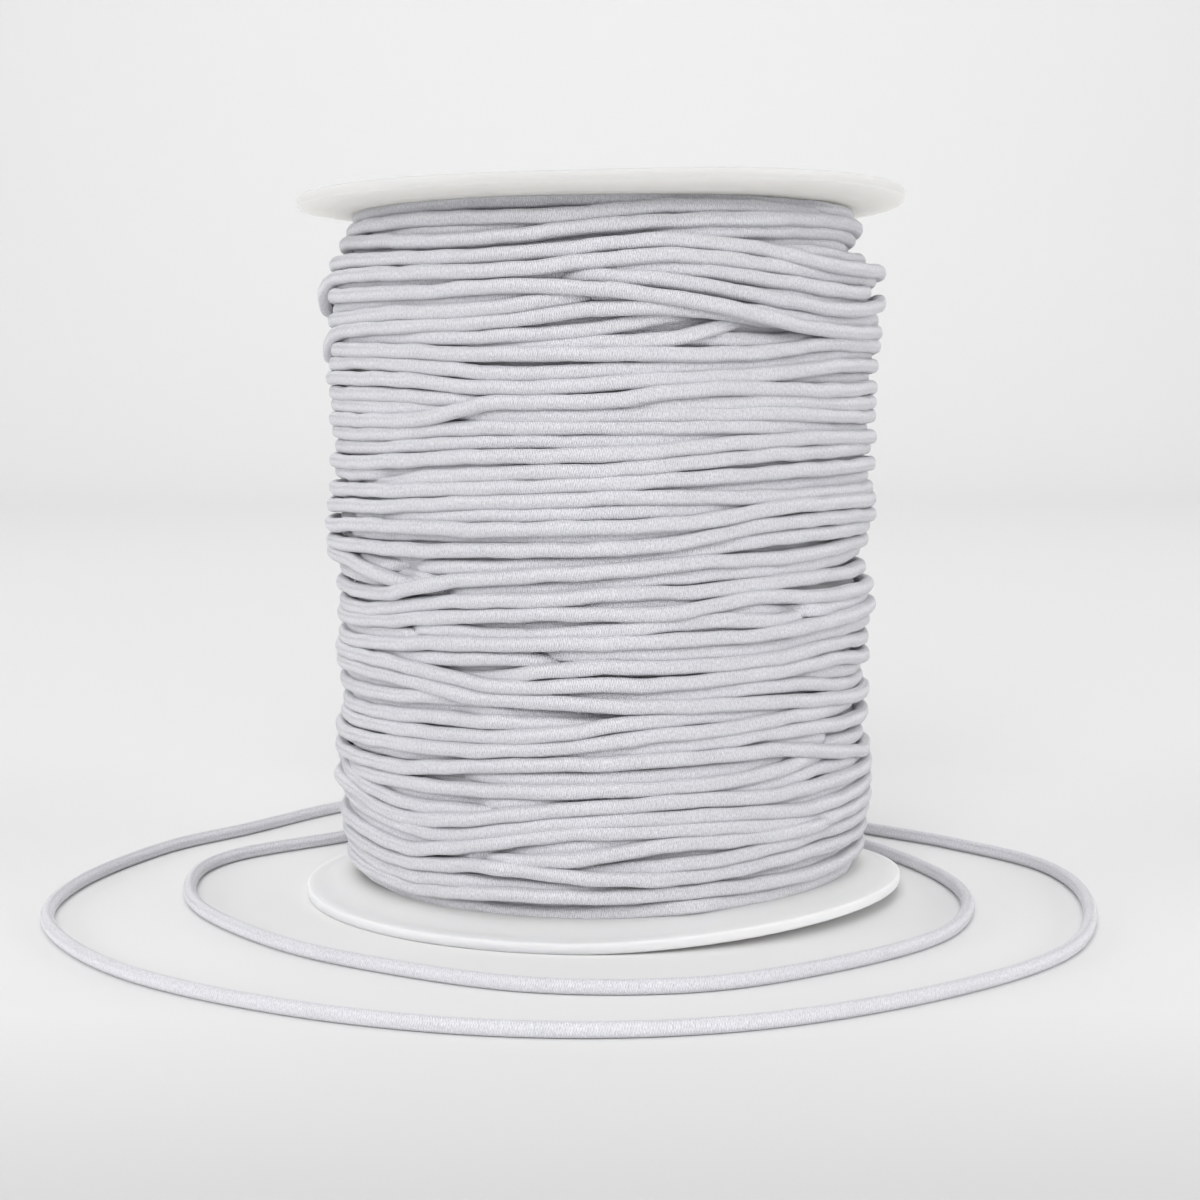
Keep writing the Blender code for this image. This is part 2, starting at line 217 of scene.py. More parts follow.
    (0.5, (5, 40.5), (12, 40.9), (25, 41.15), (35, 41.0), (42, 41.1)),
    (1.0, (-75, 39.2), (-60, 39.3), (-50, 39.6), (-37, 39.8), (-22, 39.9)),
    (3.0, (-75, 37.6), (-60, 37.9), (-50, 38.2), (-42, 38.6), (-37, 38.9), (-30, 39.1), (-25, 39.2),
        (-12, 39.4), (0, 39.5), (12, 39.8), (25, 39.95), (37, 40.0), (42, 40.3), (50, 40.8), (57, 41.1),
        (75, 41.5)),
    (1.5, (-15, 38.3), (-5, 38.1), (7, 38.2), (32, 38.15), (37, 38.3), (42, 38.6), (50, 39.15), (57, 39.4),
        (75, 39.5)),
    (1.5, (-60, 36.7), (-50, 36.7), (-42, 36.85), (-30, 37.1), (-25, 37.25), (-17, 37.5), (-12, 37.3),
        (-5, 37.1)),
    (2.5, (-28, 34.6), (-25, 34.7), (-20, 35.1), (-15, 35.6), (-8, 36.2), (0, 36.5), (15, 36.4),
        (25, 36.4), (32, 36.5), (40, 36.8), (50, 37.4), (57, 37.7), (65, 37.5), (75, 36.9)),
    (4.0, (-75, 35.8), (-62, 35.9), (-50, 35.95), (-45, 35.6), (-37, 35.15), (-32, 34.7), (-27, 34.1),
        (-22, 33.65), (-17, 33.6), (-12, 33.85), (-5, 34.3), (7, 34.1), (15, 34.2), (25, 34.5),
        (32, 34.75), (40, 35.0), (50, 35.4), (57, 35.6), (65, 35.2), (75, 34.3)),
    (1.0, (40, 33.9), (50, 34.0), (57, 33.8), (65, 33.3), (75, 33.1)),
    (1.5, (-15, 32.3), (-5, 32.7), (0, 32.55), (7, 32.65), (15, 32.75), (25, 32.9), (40, 33.0), (45, 32.9),
        (50, 32.5), (55, 32.2), (60, 31.7), (67, 31.3), (75, 31.2)),
    (4.0, (-75, 34.1), (-50, 34.0), (-42, 33.6), (-37, 33.2), (-32, 32.75), (-27, 32.2), (-22, 31.9),
        (-12, 31.9), (-5, 31.75), (0, 31.6), (7, 31.3), (15, 31.2), (25, 31.1), (32, 30.95), (40, 30.8),
        (50, 30.4), (60, 29.8), (67, 29.5), (75, 29.4)),
    (1.0, (-75, 32.6), (-50, 32.7), (-42, 32.8), (-35, 32.6)),
    (2.0, (-75, 31.1), (-62, 31.2), (-50, 31.4), (-42, 31.65), (-37, 31.7), (-30, 31.9), (-20, 32.0)),
    (1.0, (-75, 30.1), (-62, 29.75), (-50, 30.15), (-42, 30.45), (-30, 30.65), (-25, 30.5), (-17, 30.35),
        (-10, 30.15), (-5, 29.9), (3, 29.7)),
    (2.0, (-75, 28.4), (-62, 28.5), (-55, 28.7), (-50, 28.8), (-42, 29.05), (-37, 29.2), (-30, 29.1),
        (-12, 29.1), (-3, 29.0), (5, 29.0)),
    (3.0, (-75, 26.4), (-62, 26.7), (-50, 26.9), (-37, 27.0), (-30, 26.9), (-25, 27.05), (-17, 27.4),
        (-12, 27.6), (-7, 27.95), (-3, 28.4), (0, 28.8), (5, 29.3), (12, 29.5), (20, 29.65), (37, 29.75),
        (50, 30.0)),
    (3.0, (-75, 24.4), (-62, 24.6), (-50, 24.9), (-37, 24.95), (-25, 25.25), (-17, 25.65), (-7, 26.05),
        (0, 26.65), (5, 27.2), (12, 27.6), (25, 27.95), (32, 28.3), (40, 28.65), (50, 28.6), (57, 28.4),
        (65, 28.5), (75, 28.7)),
    (1.0, (-75, 23.4), (-60, 23.6), (-50, 23.75), (-42, 23.8), (-37, 24.1), (-30, 24.5)),
    (2.0, (-12, 25.3), (-5, 25.4), (5, 25.85), (12, 26.1), (25, 26.3), (32, 26.7), (40, 26.85), (50, 26.6),
        (57, 26.4), (75, 26.2)),
    (0.5, (38, 25.6), (45, 25.4), (52, 25.0), (68, 24.75)),
    (1.0, (48, 24.5), (57, 24.0), (65, 23.9), (75, 23.4)),
    (3.0, (-75, 21.6), (-50, 21.8), (-42, 22.0), (-37, 22.4), (-30, 22.9), (-25, 23.2), (-17, 23.6),
        (-5, 24.0), (0, 24.0), (7, 24.25), (15, 24.35), (25, 24.45), (32, 24.6), (40, 24.4), (45, 24.05),
        (50, 23.5), (55, 22.85), (60, 22.4), (65, 22.0), (75, 21.1)),
    (1.0, (-25, 21.9), (-15, 21.75), (-5, 22.0), (0, 22.15), (15, 22.4), (32, 22.75), (45, 23.1)),
    (2.0, (-75, 19.9), (-50, 19.85), (-35, 19.9), (-25, 20.0), (-17, 20.2), (0, 20.45), (7, 20.6),
        (15, 20.8), (25, 20.95), (30, 21.2), (35, 21.6), (40, 22.0), (45, 22.35), (58, 22.6)),
    (1.0, (-58, 18.9), (-50, 18.7), (-42, 18.45), (-25, 18.5), (-12, 18.9)),
    (1.5, (22, 19.6), (30, 19.9), (37, 20.1), (42, 20.4), (50, 20.85), (55, 20.9), (60, 20.6), (67, 20.3),
        (75, 20.1)),
    (2.0, (-75, 19.0), (-68, 18.75), (-62, 18.3), (-57, 17.85), (-52, 17.4), (-47, 17.1), (-37, 17.0),
        (-27, 17.25), (-18, 17.7)),
    (3.2, (-75, 17.6), (-66, 16.8), (-60, 16.1), (-55, 15.6), (-50, 15.2), (-45, 15.1), (-37, 15.3),
        (-32, 15.6), (-27, 16.1), (-22, 16.75), (-17, 17.3), (-12, 17.75), (-5, 18.15), (0, 18.35),
        (7, 18.6), (15, 18.85), (20, 18.9), (25, 18.8), (37, 18.45), (45, 18.65), (52, 18.85), (75, 18.8)),
    (1.0, (38, 17.2), (52, 17.35), (60, 17.5), (75, 17.9)),
    (3.0, (-75, 15.6), (-62, 14.9), (-55, 14.5), (-50, 14.1), (-45, 13.75), (-40, 13.5), (-35, 13.6),
        (-30, 13.95), (-25, 14.5), (-20, 15.05), (-15, 15.65), (-10, 16.05), (-5, 16.35), (0, 16.55),
        (15, 16.85), (25, 16.8), (30, 16.6), (37, 16.25), (45, 15.85), (52, 15.95), (60, 16.3),
        (75, 16.5)),
    (1.0, (-75, 13.5), (-62, 13.3), (-55, 13.0), (-50, 12.6), (-45, 12.35), (-38, 12.2), (-30, 12.7)),
    (3.0, (-75, 12.3), (-65, 12.0), (-60, 11.7), (-55, 11.3), (-50, 11.0), (-45, 10.95), (-40, 11.25),
        (-35, 11.75), (-30, 12.3), (-25, 12.95), (-20, 13.5), (-12, 14.5), (-7, 14.85), (0, 15.05),
        (15, 15.15), (25, 15.0), (32, 14.75), (40, 14.4), (50, 14.1), (75, 14.3)),
    (1.0, (-32, 11.3), (-25, 11.7), (-20, 12.0), (-15, 12.5), (-10, 13.0), (-5, 13.4), (0, 13.7),
        (5, 13.95), (12, 14.0)),
    (3.0, (-28, 11.0), (-15, 11.1), (-10, 11.3), (-5, 11.5), (-2, 11.7), (1, 12.1), (4, 12.55), (7, 12.85),
        (12, 13.15), (17, 13.25), (40, 13.2), (50, 13.4), (62, 13.6)),
    (0.5, (3, 11.4), (10, 11.75), (17, 11.85), (25, 12.05), (38, 12.4)),
    (2.0, (-8, 9.7), (0, 10.0), (7, 10.35), (15, 10.6), (25, 10.95), (30, 11.2), (35, 11.5), (40, 11.75),
        (45, 11.9), (60, 12.1), (75, 12.5)),
    (3.0, (-75, 9.8), (-65, 9.7), (-60, 9.4), (-50, 9.05), (-45, 9.0), (-40, 9.2), (-35, 9.6), (-30, 9.9),
        (-25, 10.0), (-15, 9.8), (-10, 9.5), (-5, 9.15), (0, 8.95), (7, 8.75), (15, 8.75), (25, 9.05),
        (30, 9.3), (35, 9.6), (40, 9.85), (45, 10.0), (75, 9.8)),
    (1.0, (30, 8.1), (45, 8.25), (58, 8.1), (75, 8.4)),
    (2.0, (-75, 8.2), (-65, 8.0), (-60, 7.6), (-55, 7.35), (-45, 7.2), (-40, 7.4), (-35, 7.65),
        (-25, 7.95), (-15, 7.8), (-5, 7.45), (8, 7.6)),
    (2.5, (-75, 6.3), (-60, 5.95), (-47, 5.6), (-42, 5.65), (-37, 5.85), (-30, 6.2), (-25, 6.5),
        (-19, 6.65), (-7, 6.5), (0, 6.6), (7, 6.75), (25, 6.9), (42, 6.8), (50, 6.9), (75, 7.2)),
    (1.0, (-33, 5.4), (-26, 5.6), (7, 5.75), (25, 5.8), (40, 5.65), (62, 5.8)),
    (2.0, (-75, 4.9), (-62, 4.7), (-55, 4.45), (-42, 4.15), (-35, 4.3), (-25, 4.2), (-17, 4.1), (-10, 4.2),
        (0, 4.5), (15, 4.9), (25, 5.0), (75, 5.1)),
)]

# The winding's mean radius, and the angle on either side up to which the turns show.
SEEN_RADIUS = 38.5 * MM
SEEN_TO = 75.0

# Turns that wander at the back: `place` counts the turns that come round from the right, from the top.
# Round `angle`, over `width` on either side, one climbs over its neighbours by `rise` and comes back.
Wander = namedtuple("Wander", "place angle width rise")
WANDERS = (
    Wander(3, 150, 60, -3.4), Wander(8, 215, 55, 3.0), Wander(13, 170, 65, -3.8),
    Wander(19, 125, 42, 2.6), Wander(22, 220, 50, -3.2), Wander(27, 165, 70, 4.2),
    Wander(33, 205, 60, -3.6), Wander(38, 140, 52, 3.0), Wander(43, 190, 66, -3.9),
    Wander(47, 228, 44, 2.2),
)

# Lengths that come up at the back at the angle `first`, below the place `start`, slant over or under
# their neighbours and tuck in again at `last`, below the place `end`.
BackRun = namedtuple("BackRun", "level first last start end")
BACK_RUNS = (
    BackRun(3.6, 122, 238, 5.5, 2.5), BackRun(0.6, 120, 200, 10.5, 10.5),
    BackRun(3.4, 136, 240, 15.5, 18.5), BackRun(0.5, 88, 160, 18.5, 18.5),
    BackRun(3.7, 125, 222, 25.5, 22.5), BackRun(0.7, 180, 265, 27.5, 28.5),
    BackRun(3.5, 140, 237, 31.5, 34.5), BackRun(0.6, 95, 175, 36.5, 35.5),
    BackRun(3.6, 126, 230, 42.5, 39.5), BackRun(0.6, 170, 250, 45.5, 46.5),
)

# How far out the turns stand at each height in metres: on the left and on the right, in mm.
OUTLINE = (
    (0.0015, 32.3, 32.3), (0.0025, 32.9, 32.9), (0.0046, 36.3, 36.3), (0.0060, 37.5, 37.5),
    (0.0130, 38.1, 39.1), (0.0163, 37.8, 39.1), (0.0196, 38.8, 38.6), (0.0229, 38.7, 38.2),
    (0.0262, 37.9, 38.9), (0.0295, 37.9, 37.8), (0.0328, 38.2, 38.3), (0.0360, 38.5, 38.5),
    (0.0394, 37.8, 39.2), (0.0427, 38.0, 39.5), (0.0460, 38.2, 38.2), (0.0493, 39.5, 37.5),
    (0.0526, 39.9, 39.2), (0.0560, 39.8, 39.5), (0.0592, 39.3, 39.2), (0.0625, 39.1, 39.7),
    (0.0658, 39.1, 38.8), (0.0691, 38.9, 40.0), (0.0724, 39.5, 39.4), (0.0757, 39.4, 39.5),
    (0.0790, 39.2, 39.6), (0.0823, 39.3, 40.9), (0.0855, 39.5, 40.2), (0.0888, 38.9, 39.0),
    (0.0920, 37.8, 37.5), (0.0950, 36.7, 37.4), (0.0974, 36.2, 36.6),
)

# Turns that bend away as they pass the silhouette: `side` is -1 for the left and 1 for the right, and
# `height` tells the turn by its height there. It drops by `drop` and stands `out` further, both in mm,
# and its level rises by `over`.
EdgeTurn = namedtuple("EdgeTurn", "side height drop out over")
EDGE_TURNS = (
    EdgeTurn(-1, 87.4, 4.0, 0.7, 2.5), EdgeTurn(-1, 85.1, 0.0, -1.3, -1.5),
    EdgeTurn(-1, 79.9, 3.0, 0.2, 2.0), EdgeTurn(-1, 78.9, 0.0, -1.0, 0.0),
    EdgeTurn(-1, 77.8, 0.2, -1.0, -1.5), EdgeTurn(1, 85.3, -2.4, 0.0, 1.5),
    EdgeTurn(1, 83.3, -1.2, 0.5, 1.5),
)

# How much further in or out than the outline each level lies, and how much further in the drum.
LEVEL_OFFSETS = ((0.0, 1.0, 2.0, 3.0, 4.0), (-0.00140, -0.00085, -0.00035, 0.0, 0.00020))
UNDER_DEPTH = 2.4 * MM

# The angles at which the turns are worked out, how far and how wide they are rounded off, in columns,
# and where the last turn leaves the winding.
COLUMNS = 240
ANGLES = -180.0 + np.arange(COLUMNS) * 360.0 / COLUMNS
ROUND_REACH, ROUND_WIDTH = 6, 2.2
LAST_TURN_LEAVES = 150.0

# The columns past the right and the left edge, and the angles from the one edge round to the other.
PAST_RIGHT, PAST_LEFT = ANGLES > SEEN_TO, ANGLES < -SEEN_TO
AROUND = np.concatenate([ANGLES[PAST_RIGHT], ANGLES[PAST_LEFT] + 360.0])

# Where a turn tucks in, it starts to lose its level TUCK_LEAD degrees before the end that shows, goes
# on for TUCK_ANGLE past it, and is TUCK_DEPTH deeper and PRESSED thinner there.
TUCK_LEAD, TUCK_ANGLE = 11.0, 14.0
TUCKED_LEVEL = -1.0
TUCK_DEPTH = 2.6 * MM
PRESSED = 0.4

# No two turns have the same level: each of a list lies this much over the one before.
LEVEL_STEP, BACK_LEVEL_STEP = 0.004, 0.01

# At the back: how evenly the turns are spread, how far each strays in height and in level, and how
# much one that swaps places or wanders is lifted.
EVENNESS, STRAY, LEVEL_STRAY = 0.85, 0.22 * MM, 0.7
SWAP_LIFT, WANDER_LIFT = 2.2, 3.0

# Drawn at random for each turn at the back: the share of the way round at which it starts to swap
# places, which takes SWAP_OVER of the way, and in how many waves it strays in height and in level.
SWAP_START, SWAP_OVER = (0.15, 0.50), 0.35
HEIGHT_WAVES, LEVEL_WAVES = (1.0, 2.4), (0.7, 2.0)

# A turn bends away from the first of these angles to the second and comes back from the third to the
# fourth.
EDGE_FROM, EDGE_FULL, EDGE_HELD, EDGE_TO = 72.0, 92.0, 105.0, 150.0

# Two turns of like levels may come within NEAR of the cord's radius, and ones that are CLEAR levels
# apart keep FURTHER more. At each step a turn is drawn straight by DRAW of the way, back to its own
# distance by RETURN, off a lower turn by PUSH_OUT and under a higher one by PUSH_IN.
NEAR, FURTHER, CLEAR = 1.20, 0.60, 0.8
LAY_STEPS, DRAW_STEPS = 160, 140
DRAW, RETURN, PUSH_OUT, PUSH_IN = 0.7, 0.04, 0.35, 0.45

# How far a length of cord wavers out, up and in thickness, and how lumpy it is.
WAVER_OUT, WAVER_UP, WAVER_THICK = 0.10 * MM, 0.13 * MM, 0.07
LUMPS = 0.012


# Shapes

def smoothstep(share):
    """0 before 0, 1 after 1, and a slow start and stop between: 3t^2 - 2t^3."""
    t = np.clip(share, 0.0, 1.0)
    return t * t * (3.0 - 2.0 * t)


def unit(vectors):
    """Each vector over its own length."""
    return vectors / np.linalg.norm(vectors, axis=-1, keepdims=True)


def smooth_route(route, count):
    """`count` points, evenly spaced, on the Catmull-Rom curve through the route's points."""
    knots = np.array(route)
    knots = np.vstack([2 * knots[0] - knots[1], knots, 2 * knots[-1] - knots[-2]])
    steps = 24
    t = np.linspace(0.0, 1.0, steps, endpoint=False)[:, None]
    fine = []
    for a, b, c, d in zip(knots, knots[1:], knots[2:], knots[3:]):
        fine.append(0.5 * (2 * b + (c - a) * t + (2 * a - 5 * b + 4 * c - d) * t**2
                           + (3 * b - a - 3 * c + d) * t**3))
    fine = np.vstack(fine + [knots[-2:-1]])
    run = run_length(fine)
    wanted = np.linspace(0.0, run[-1], count)
    return np.stack([np.interp(wanted, run, fine[:, axis]) for axis in range(3)], axis=1)


def run_length(points):
    """How far along the path each point is."""
    return np.concatenate([[0.0], np.cumsum(np.linalg.norm(np.diff(points, axis=0), axis=1))])


def closed_faces(rows, columns):
    """The faces between rings of points, row by row, each closed round its last column."""
    row, side = np.meshgrid(np.arange(rows - 1), np.arange(columns), indexing="ij")
    after = (side + 1) % columns
    return np.stack([row * columns + side, row * columns + after,
                     (row + 1) * columns + after, (row + 1) * columns + side], axis=-1).reshape(-1, 4)


def tube(centres, outward, radii, sides, squareness=2.0):
    """A tube along a path: each ring lies in the plane across the path, at angle a the point is centre
    + radius (cos a * outward + sin a * across) / (|cos a|^n + |sin a|^n)^(1/n), with `across` at right
    angles to both and n the squareness, 2 for a round tube. Returns the points, the side faces, an
    (along, around) pair per corner and the two end faces."""
    rings = len(centres)
    tangent = unit(np.gradient(centres, axis=0))
    outward = unit(outward - np.sum(outward * tangent, axis=1, keepdims=True) * tangent)
    across = np.cross(tangent, outward)
    a = np.pi + np.arange(sides) * 2 * np.pi / sides
    squash = (np.abs(np.cos(a)) ** squareness + np.abs(np.sin(a)) ** squareness) ** (-1 / squareness)
    spokes = ((squash * np.cos(a))[None, :, None] * outward[:, None]
              + (squash * np.sin(a))[None, :, None] * across[:, None])
    points = centres[:, None] + radii[:, None, None] * spokes
    faces = np.roll(closed_faces(rings, sides), -1, axis=1)
    along = run_length(centres)
    row, side = np.meshgrid(np.arange(rings - 1), np.arange(sides), indexing="ij")
    u = np.stack([along[row], along[row + 1], along[row + 1], along[row]], axis=-1)
    v = np.stack([side + 1, side + 1, side, side], axis=-1) / sides
    corners = np.stack([u, v], axis=-1).reshape(-1, 4, 2)
    first = np.arange(sides)
    last = (rings - 1) * sides + np.arange(sides)
    return points.reshape(-1, 3), faces, corners, (first, last[::-1])


def build_mesh(name, parts):
    """One mesh from several tubes: their points one after the other, their faces counted on."""
    points, loops, starts, uvs = [], [], [], []
    base, corner = 0, 0
    for part_points, quads, corners, ends in parts:
        points.append(part_points)
        loops.append((quads + base).ravel())
        starts.append(corner + np.arange(len(quads)) * 4)
        uvs.append(corners.reshape(-1, 2))
        corner += quads.size
        for end in ends:
            loops.append(end + base)
            starts.append(np.array([corner]))
            uvs.append(np.zeros((len(end), 2)))
            corner += len(end)
        base += len(part_points)
    points, loops = np.vstack(points), np.concatenate(loops)
    starts, uvs = np.concatenate(starts), np.vstack(uvs)
    mesh = bpy.data.meshes.new(name)
    mesh.vertices.add(len(points))
    mesh.vertices.foreach_set("co", points.ravel())
    mesh.loops.add(len(loops))
    mesh.loops.foreach_set("vertex_index", loops.astype(np.int32))
    mesh.polygons.add(len(starts))
    mesh.polygons.foreach_set("loop_start", starts.astype(np.int32))
    mesh.uv_layers.new(name="cord").data.foreach_set("uv", uvs.ravel())
    mesh.update(calc_edges=True)
    mesh.validate()
    mesh.shade_smooth()
    return mesh


def grid_faces(rows, columns):
    """The faces of an open grid of points, row by row."""
    row, side = np.meshgrid(np.arange(rows - 1), np.arange(columns - 1), indexing="ij")
    corner = row * columns + side
    return np.stack([corner, corner + 1, corner + columns + 1, corner + columns], axis=-1).reshape(-1, 4)


def add_piece(name, mesh, look):
    """A finished piece at the origin, with its material."""
    piece = bpy.data.objects.new(name, mesh)
    bpy.context.scene.collection.objects.link(piece)
    mesh.materials.append(look)
    return piece


# The winding

def run_heights(run):
    """A turn's height at every column: straight between its points, then rounded off."""
    angles, heights = np.array(run).T
    level = np.interp(ANGLES, angles, heights) * MM
    kernel = np.exp(-0.5 * (np.arange(-ROUND_REACH, ROUND_REACH + 1) / ROUND_WIDTH) ** 2)
    padded = np.pad(level, ROUND_REACH, mode="edge")
    return np.convolve(padded, kernel / kernel.sum(), mode="valid")


def sway(turn_angle, height):
    """The turns' drift up and down at the back: one sine wave round the roll and three of half its
    height. The one turns by 110 radians a metre of height, and the three by 170 the other way."""
    turn = np.radians(turn_angle)
    return np.sin(turn + height * 110.0) + 0.5 * np.sin(3 * turn - height * 170.0)


def stray_wave(share, waves, rng):
    """A sine wave along `share` with a random number of waves, between the two in `waves`, and a
    random start."""
    return np.sin(2 * np.pi * (share * rng.uniform(*waves) + rng.random()))


def outline_radius(height, turn_angle):
    """How far out the turns stand at a height and angle: straight between the outline's stations on
    each side, and from the left's to the right's with the sine of the angle."""
    heights, lefts, rights = np.array(OUTLINE).T
    left = np.interp(height, heights, lefts * MM)
    right = np.interp(height, heights, rights * MM)
    return left + (right - left) * (1 + np.sin(np.radians(turn_angle))) / 2


class Winding:
    """The turns as rows and the angles round the roll as columns: where each is there, its height,
    its level, and the turn that it goes on as past the back's middle."""

    def __init__(self, turns, drift):
        self.turns = turns
        count = len(turns)
        self.height = np.array([run_heights(turn.run) for turn in turns])
        self.level = np.array([self.level_along(turn) + LEVEL_STEP * i for i, turn in enumerate(turns)])
        self.there = np.zeros((count, COLUMNS), bool)
        self.sink = np.zeros((count, COLUMNS))
        self.following = np.full(count, -1)
        self.leading = np.full(count, -1)
        self.show_fronts()
        self.join_round_the_back(drift)
        self.out = np.zeros(self.height.shape)
        self.bend_past_the_edge()

    def level_along(self, turn):
        """A turn's level at every column: one value, or one at its left end and one at its right."""
        ends = (turn.run[0][0], turn.run[-1][0])
        return np.interp(ANGLES, ends, np.broadcast_to(turn.level, 2))

    def show_fronts(self):
        """Marks where each turn is at the front, and sinks the ends that tuck in."""
        for i, turn in enumerate(self.turns):
            first, last = turn.run[0][0], turn.run[-1][0]
            low = -SEEN_TO if first <= -SEEN_TO else first - TUCK_ANGLE
            high = SEEN_TO if last >= SEEN_TO else last + TUCK_ANGLE
            self.there[i] = (ANGLES >= low) & (ANGLES <= high)
            if first > -SEEN_TO:
                self.tuck(i, first - ANGLES)
            if last < SEEN_TO:
                self.tuck(i, ANGLES - last)

    def tuck(self, i, past):
        """Lets turn i go under its neighbours, and then deeper, where it is `past` its seen end."""
        self.level[i] -= (self.level[i] - TUCKED_LEVEL) * smoothstep((past + TUCK_LEAD) / TUCK_ANGLE)
        self.sink[i] += smoothstep(past / TUCK_ANGLE)

    def join_round_the_back(self, drift):
        """Joins each turn that comes round from the right to the next one down on the left."""
        rights = [i for i, turn in enumerate(self.turns) if turn.run[-1][0] >= SEEN_TO]
        lefts = [i for i, turn in enumerate(self.turns) if turn.run[0][0] <= -SEEN_TO]
        rights.sort(key=lambda i: -self.turns[i].run[-1][1])
        lefts.sort(key=lambda i: -self.turns[i].run[0][1])
        bottom = rights.pop()
        top = lefts.pop(0)
        if len(rights) != len(lefts):
            raise ValueError(f"{len(rights)} turns come round and {len(lefts)} go on")
        goes_on = self.without_rings(rights, lefts)
        lefts = [lefts[place] for place in goes_on]
        height, level, places = self.between_the_edges(rights, lefts, goes_on, drift)
        split = PAST_RIGHT.sum()
        for joined, side, part in ((rights, PAST_RIGHT, slice(split)),
                                   (lefts, PAST_LEFT, slice(split, None))):
            self.height[np.ix_(joined, side)] = height[:, part]
            self.level[np.ix_(joined, side)] = level[:, part]
            self.there[np.ix_(joined, side)] = True
        self.following[rights], self.leading[lefts] = lefts, rights
        self.start_at_the_top(top)
        self.leave_at_the_bottom(bottom)
        self.lay_back_runs(places)

    def between_the_edges(self, rights, lefts, goes_on, drift):
        """The joined turns' heights and levels round the back, and the heights of the places that they
        lie in. The heights ease from one edge to the other, are evened out between neighbours in the
        middle of the back, and sway together there."""
        share = (AROUND - SEEN_TO) / (360.0 - 2 * SEEN_TO)
        ease, middle = smoothstep(share), np.sin(np.pi * share) ** 2
        rng = np.random.default_rng(11)
        start = np.array([self.turns[i].run[-1][1] for i in rights])[:, None] * MM
        end = np.array([self.turns[i].run[0][1] for i in lefts])[:, None] * MM
        direct = start + (end - start) * ease
        rank = np.arange(len(rights))[:, None]
        hop = np.array(goes_on)[:, None] - rank
        swap = smoothstep((share - rng.uniform(*SWAP_START, rank.shape)) / SWAP_OVER)
        down = (rank + hop * swap) / (len(rights) - 1)
        even = direct[0] + (direct[-1] - direct[0]) * down
        height = direct + (even - direct) * EVENNESS * middle
        level_right, level_left = self.level[rights, -1:], self.level[lefts, :1]
        level = level_right + (level_left - level_right) * ease
        for i in range(len(rights)):
            height[i] += middle * (drift * sway(AROUND, height[i])
                                   + STRAY * stray_wave(share, HEIGHT_WAVES, rng))
            level[i] += middle * LEVEL_STRAY * stray_wave(share, LEVEL_WAVES, rng)
            level[i] += SWAP_LIFT * middle * (hop[i, 0] > 0)
        places = height[np.argsort(goes_on)] * ease + height * (1 - ease)
        for wander in WANDERS:
            bell = 1.0 - smoothstep(np.abs(AROUND - wander.angle) / wander.width)
            height[wander.place] += wander.rise * MM * bell
            level[wander.place] += WANDER_LIFT * smoothstep(2.0 * bell)
        return height, level, places

    def start_at_the_top(self, top):
        """Brings the top turn on the left out from under its neighbours, a little way round the back."""
        self.there[top] |= PAST_LEFT & (ANGLES > -SEEN_TO - 4 * TUCK_ANGLE)
        self.sink[top] += smoothstep((-SEEN_TO - 2 * TUCK_ANGLE - ANGLES) / (2 * TUCK_ANGLE))

    def leave_at_the_bottom(self, bottom):
        """Takes the bottom turn on the right round to where it leaves, at the loose end's height."""
        leaving = PAST_RIGHT & (ANGLES <= LAST_TURN_LEAVES)
        self.there[bottom] |= leaving
        rise = smoothstep((ANGLES - SEEN_TO) / (LAST_TURN_LEAVES - SEEN_TO))
        foot = self.turns[bottom].run[-1][1] * MM
        self.height[bottom] += np.where(leaving, (LOOSE_ROUTE[0][2] - foot) * rise, 0.0)

    def without_rings(self, rights, lefts):
        """For each place on the right, the place that its turn goes on to on the left: the same one,
        apart from neighbours that swap so that no turn comes back to its own start."""
        goes_on = list(range(len(rights)))
        place_of = {turn: place for place, turn in enumerate(rights)}
        for place in range(len(rights) - 1):
            passed, step = [], place
            while step is not None and step not in passed:
                passed.append(step)
                step = place_of.get(lefts[goes_on[step]])
            if step is not None and place + 1 not in passed:
                goes_on[place], goes_on[place + 1] = goes_on[place + 1], goes_on[place]
        return goes_on

    def lay_back_runs(self, places):
        """Adds the lengths that only show at the back, each as one more turn whose last column leads
        on to its own first one. `places` holds the heights of the places from edge to edge."""
        angle = np.where(ANGLES < 0, ANGLES + 360.0, ANGLES)
        column = np.arange(COLUMNS)
        heights = np.array([np.interp(angle, AROUND, height) for height in places])
        for number, run in enumerate(BACK_RUNS):
            share = smoothstep((angle - run.first) / (run.last - run.first))
            place = run.start + (run.end - run.start) * share
            below = np.floor(place).astype(int)
            upper, lower = heights[below, column], heights[below + 1, column]
            height = upper + (lower - upper) * (place - below)
            there = (angle >= run.first - TUCK_ANGLE) & (angle <= run.last + TUCK_ANGLE)
            self.height = np.vstack([self.height, height])
            self.level = np.vstack([self.level, np.full(COLUMNS, run.level + BACK_LEVEL_STEP * number)])
            self.there = np.vstack([self.there, there])
            self.sink = np.vstack([self.sink, np.zeros(COLUMNS)])
            own = len(self.height) - 1
            self.tuck(own, run.first - angle)
            self.tuck(own, angle - run.last)
            self.following, self.leading = np.append(self.following, own), np.append(self.leading, own)

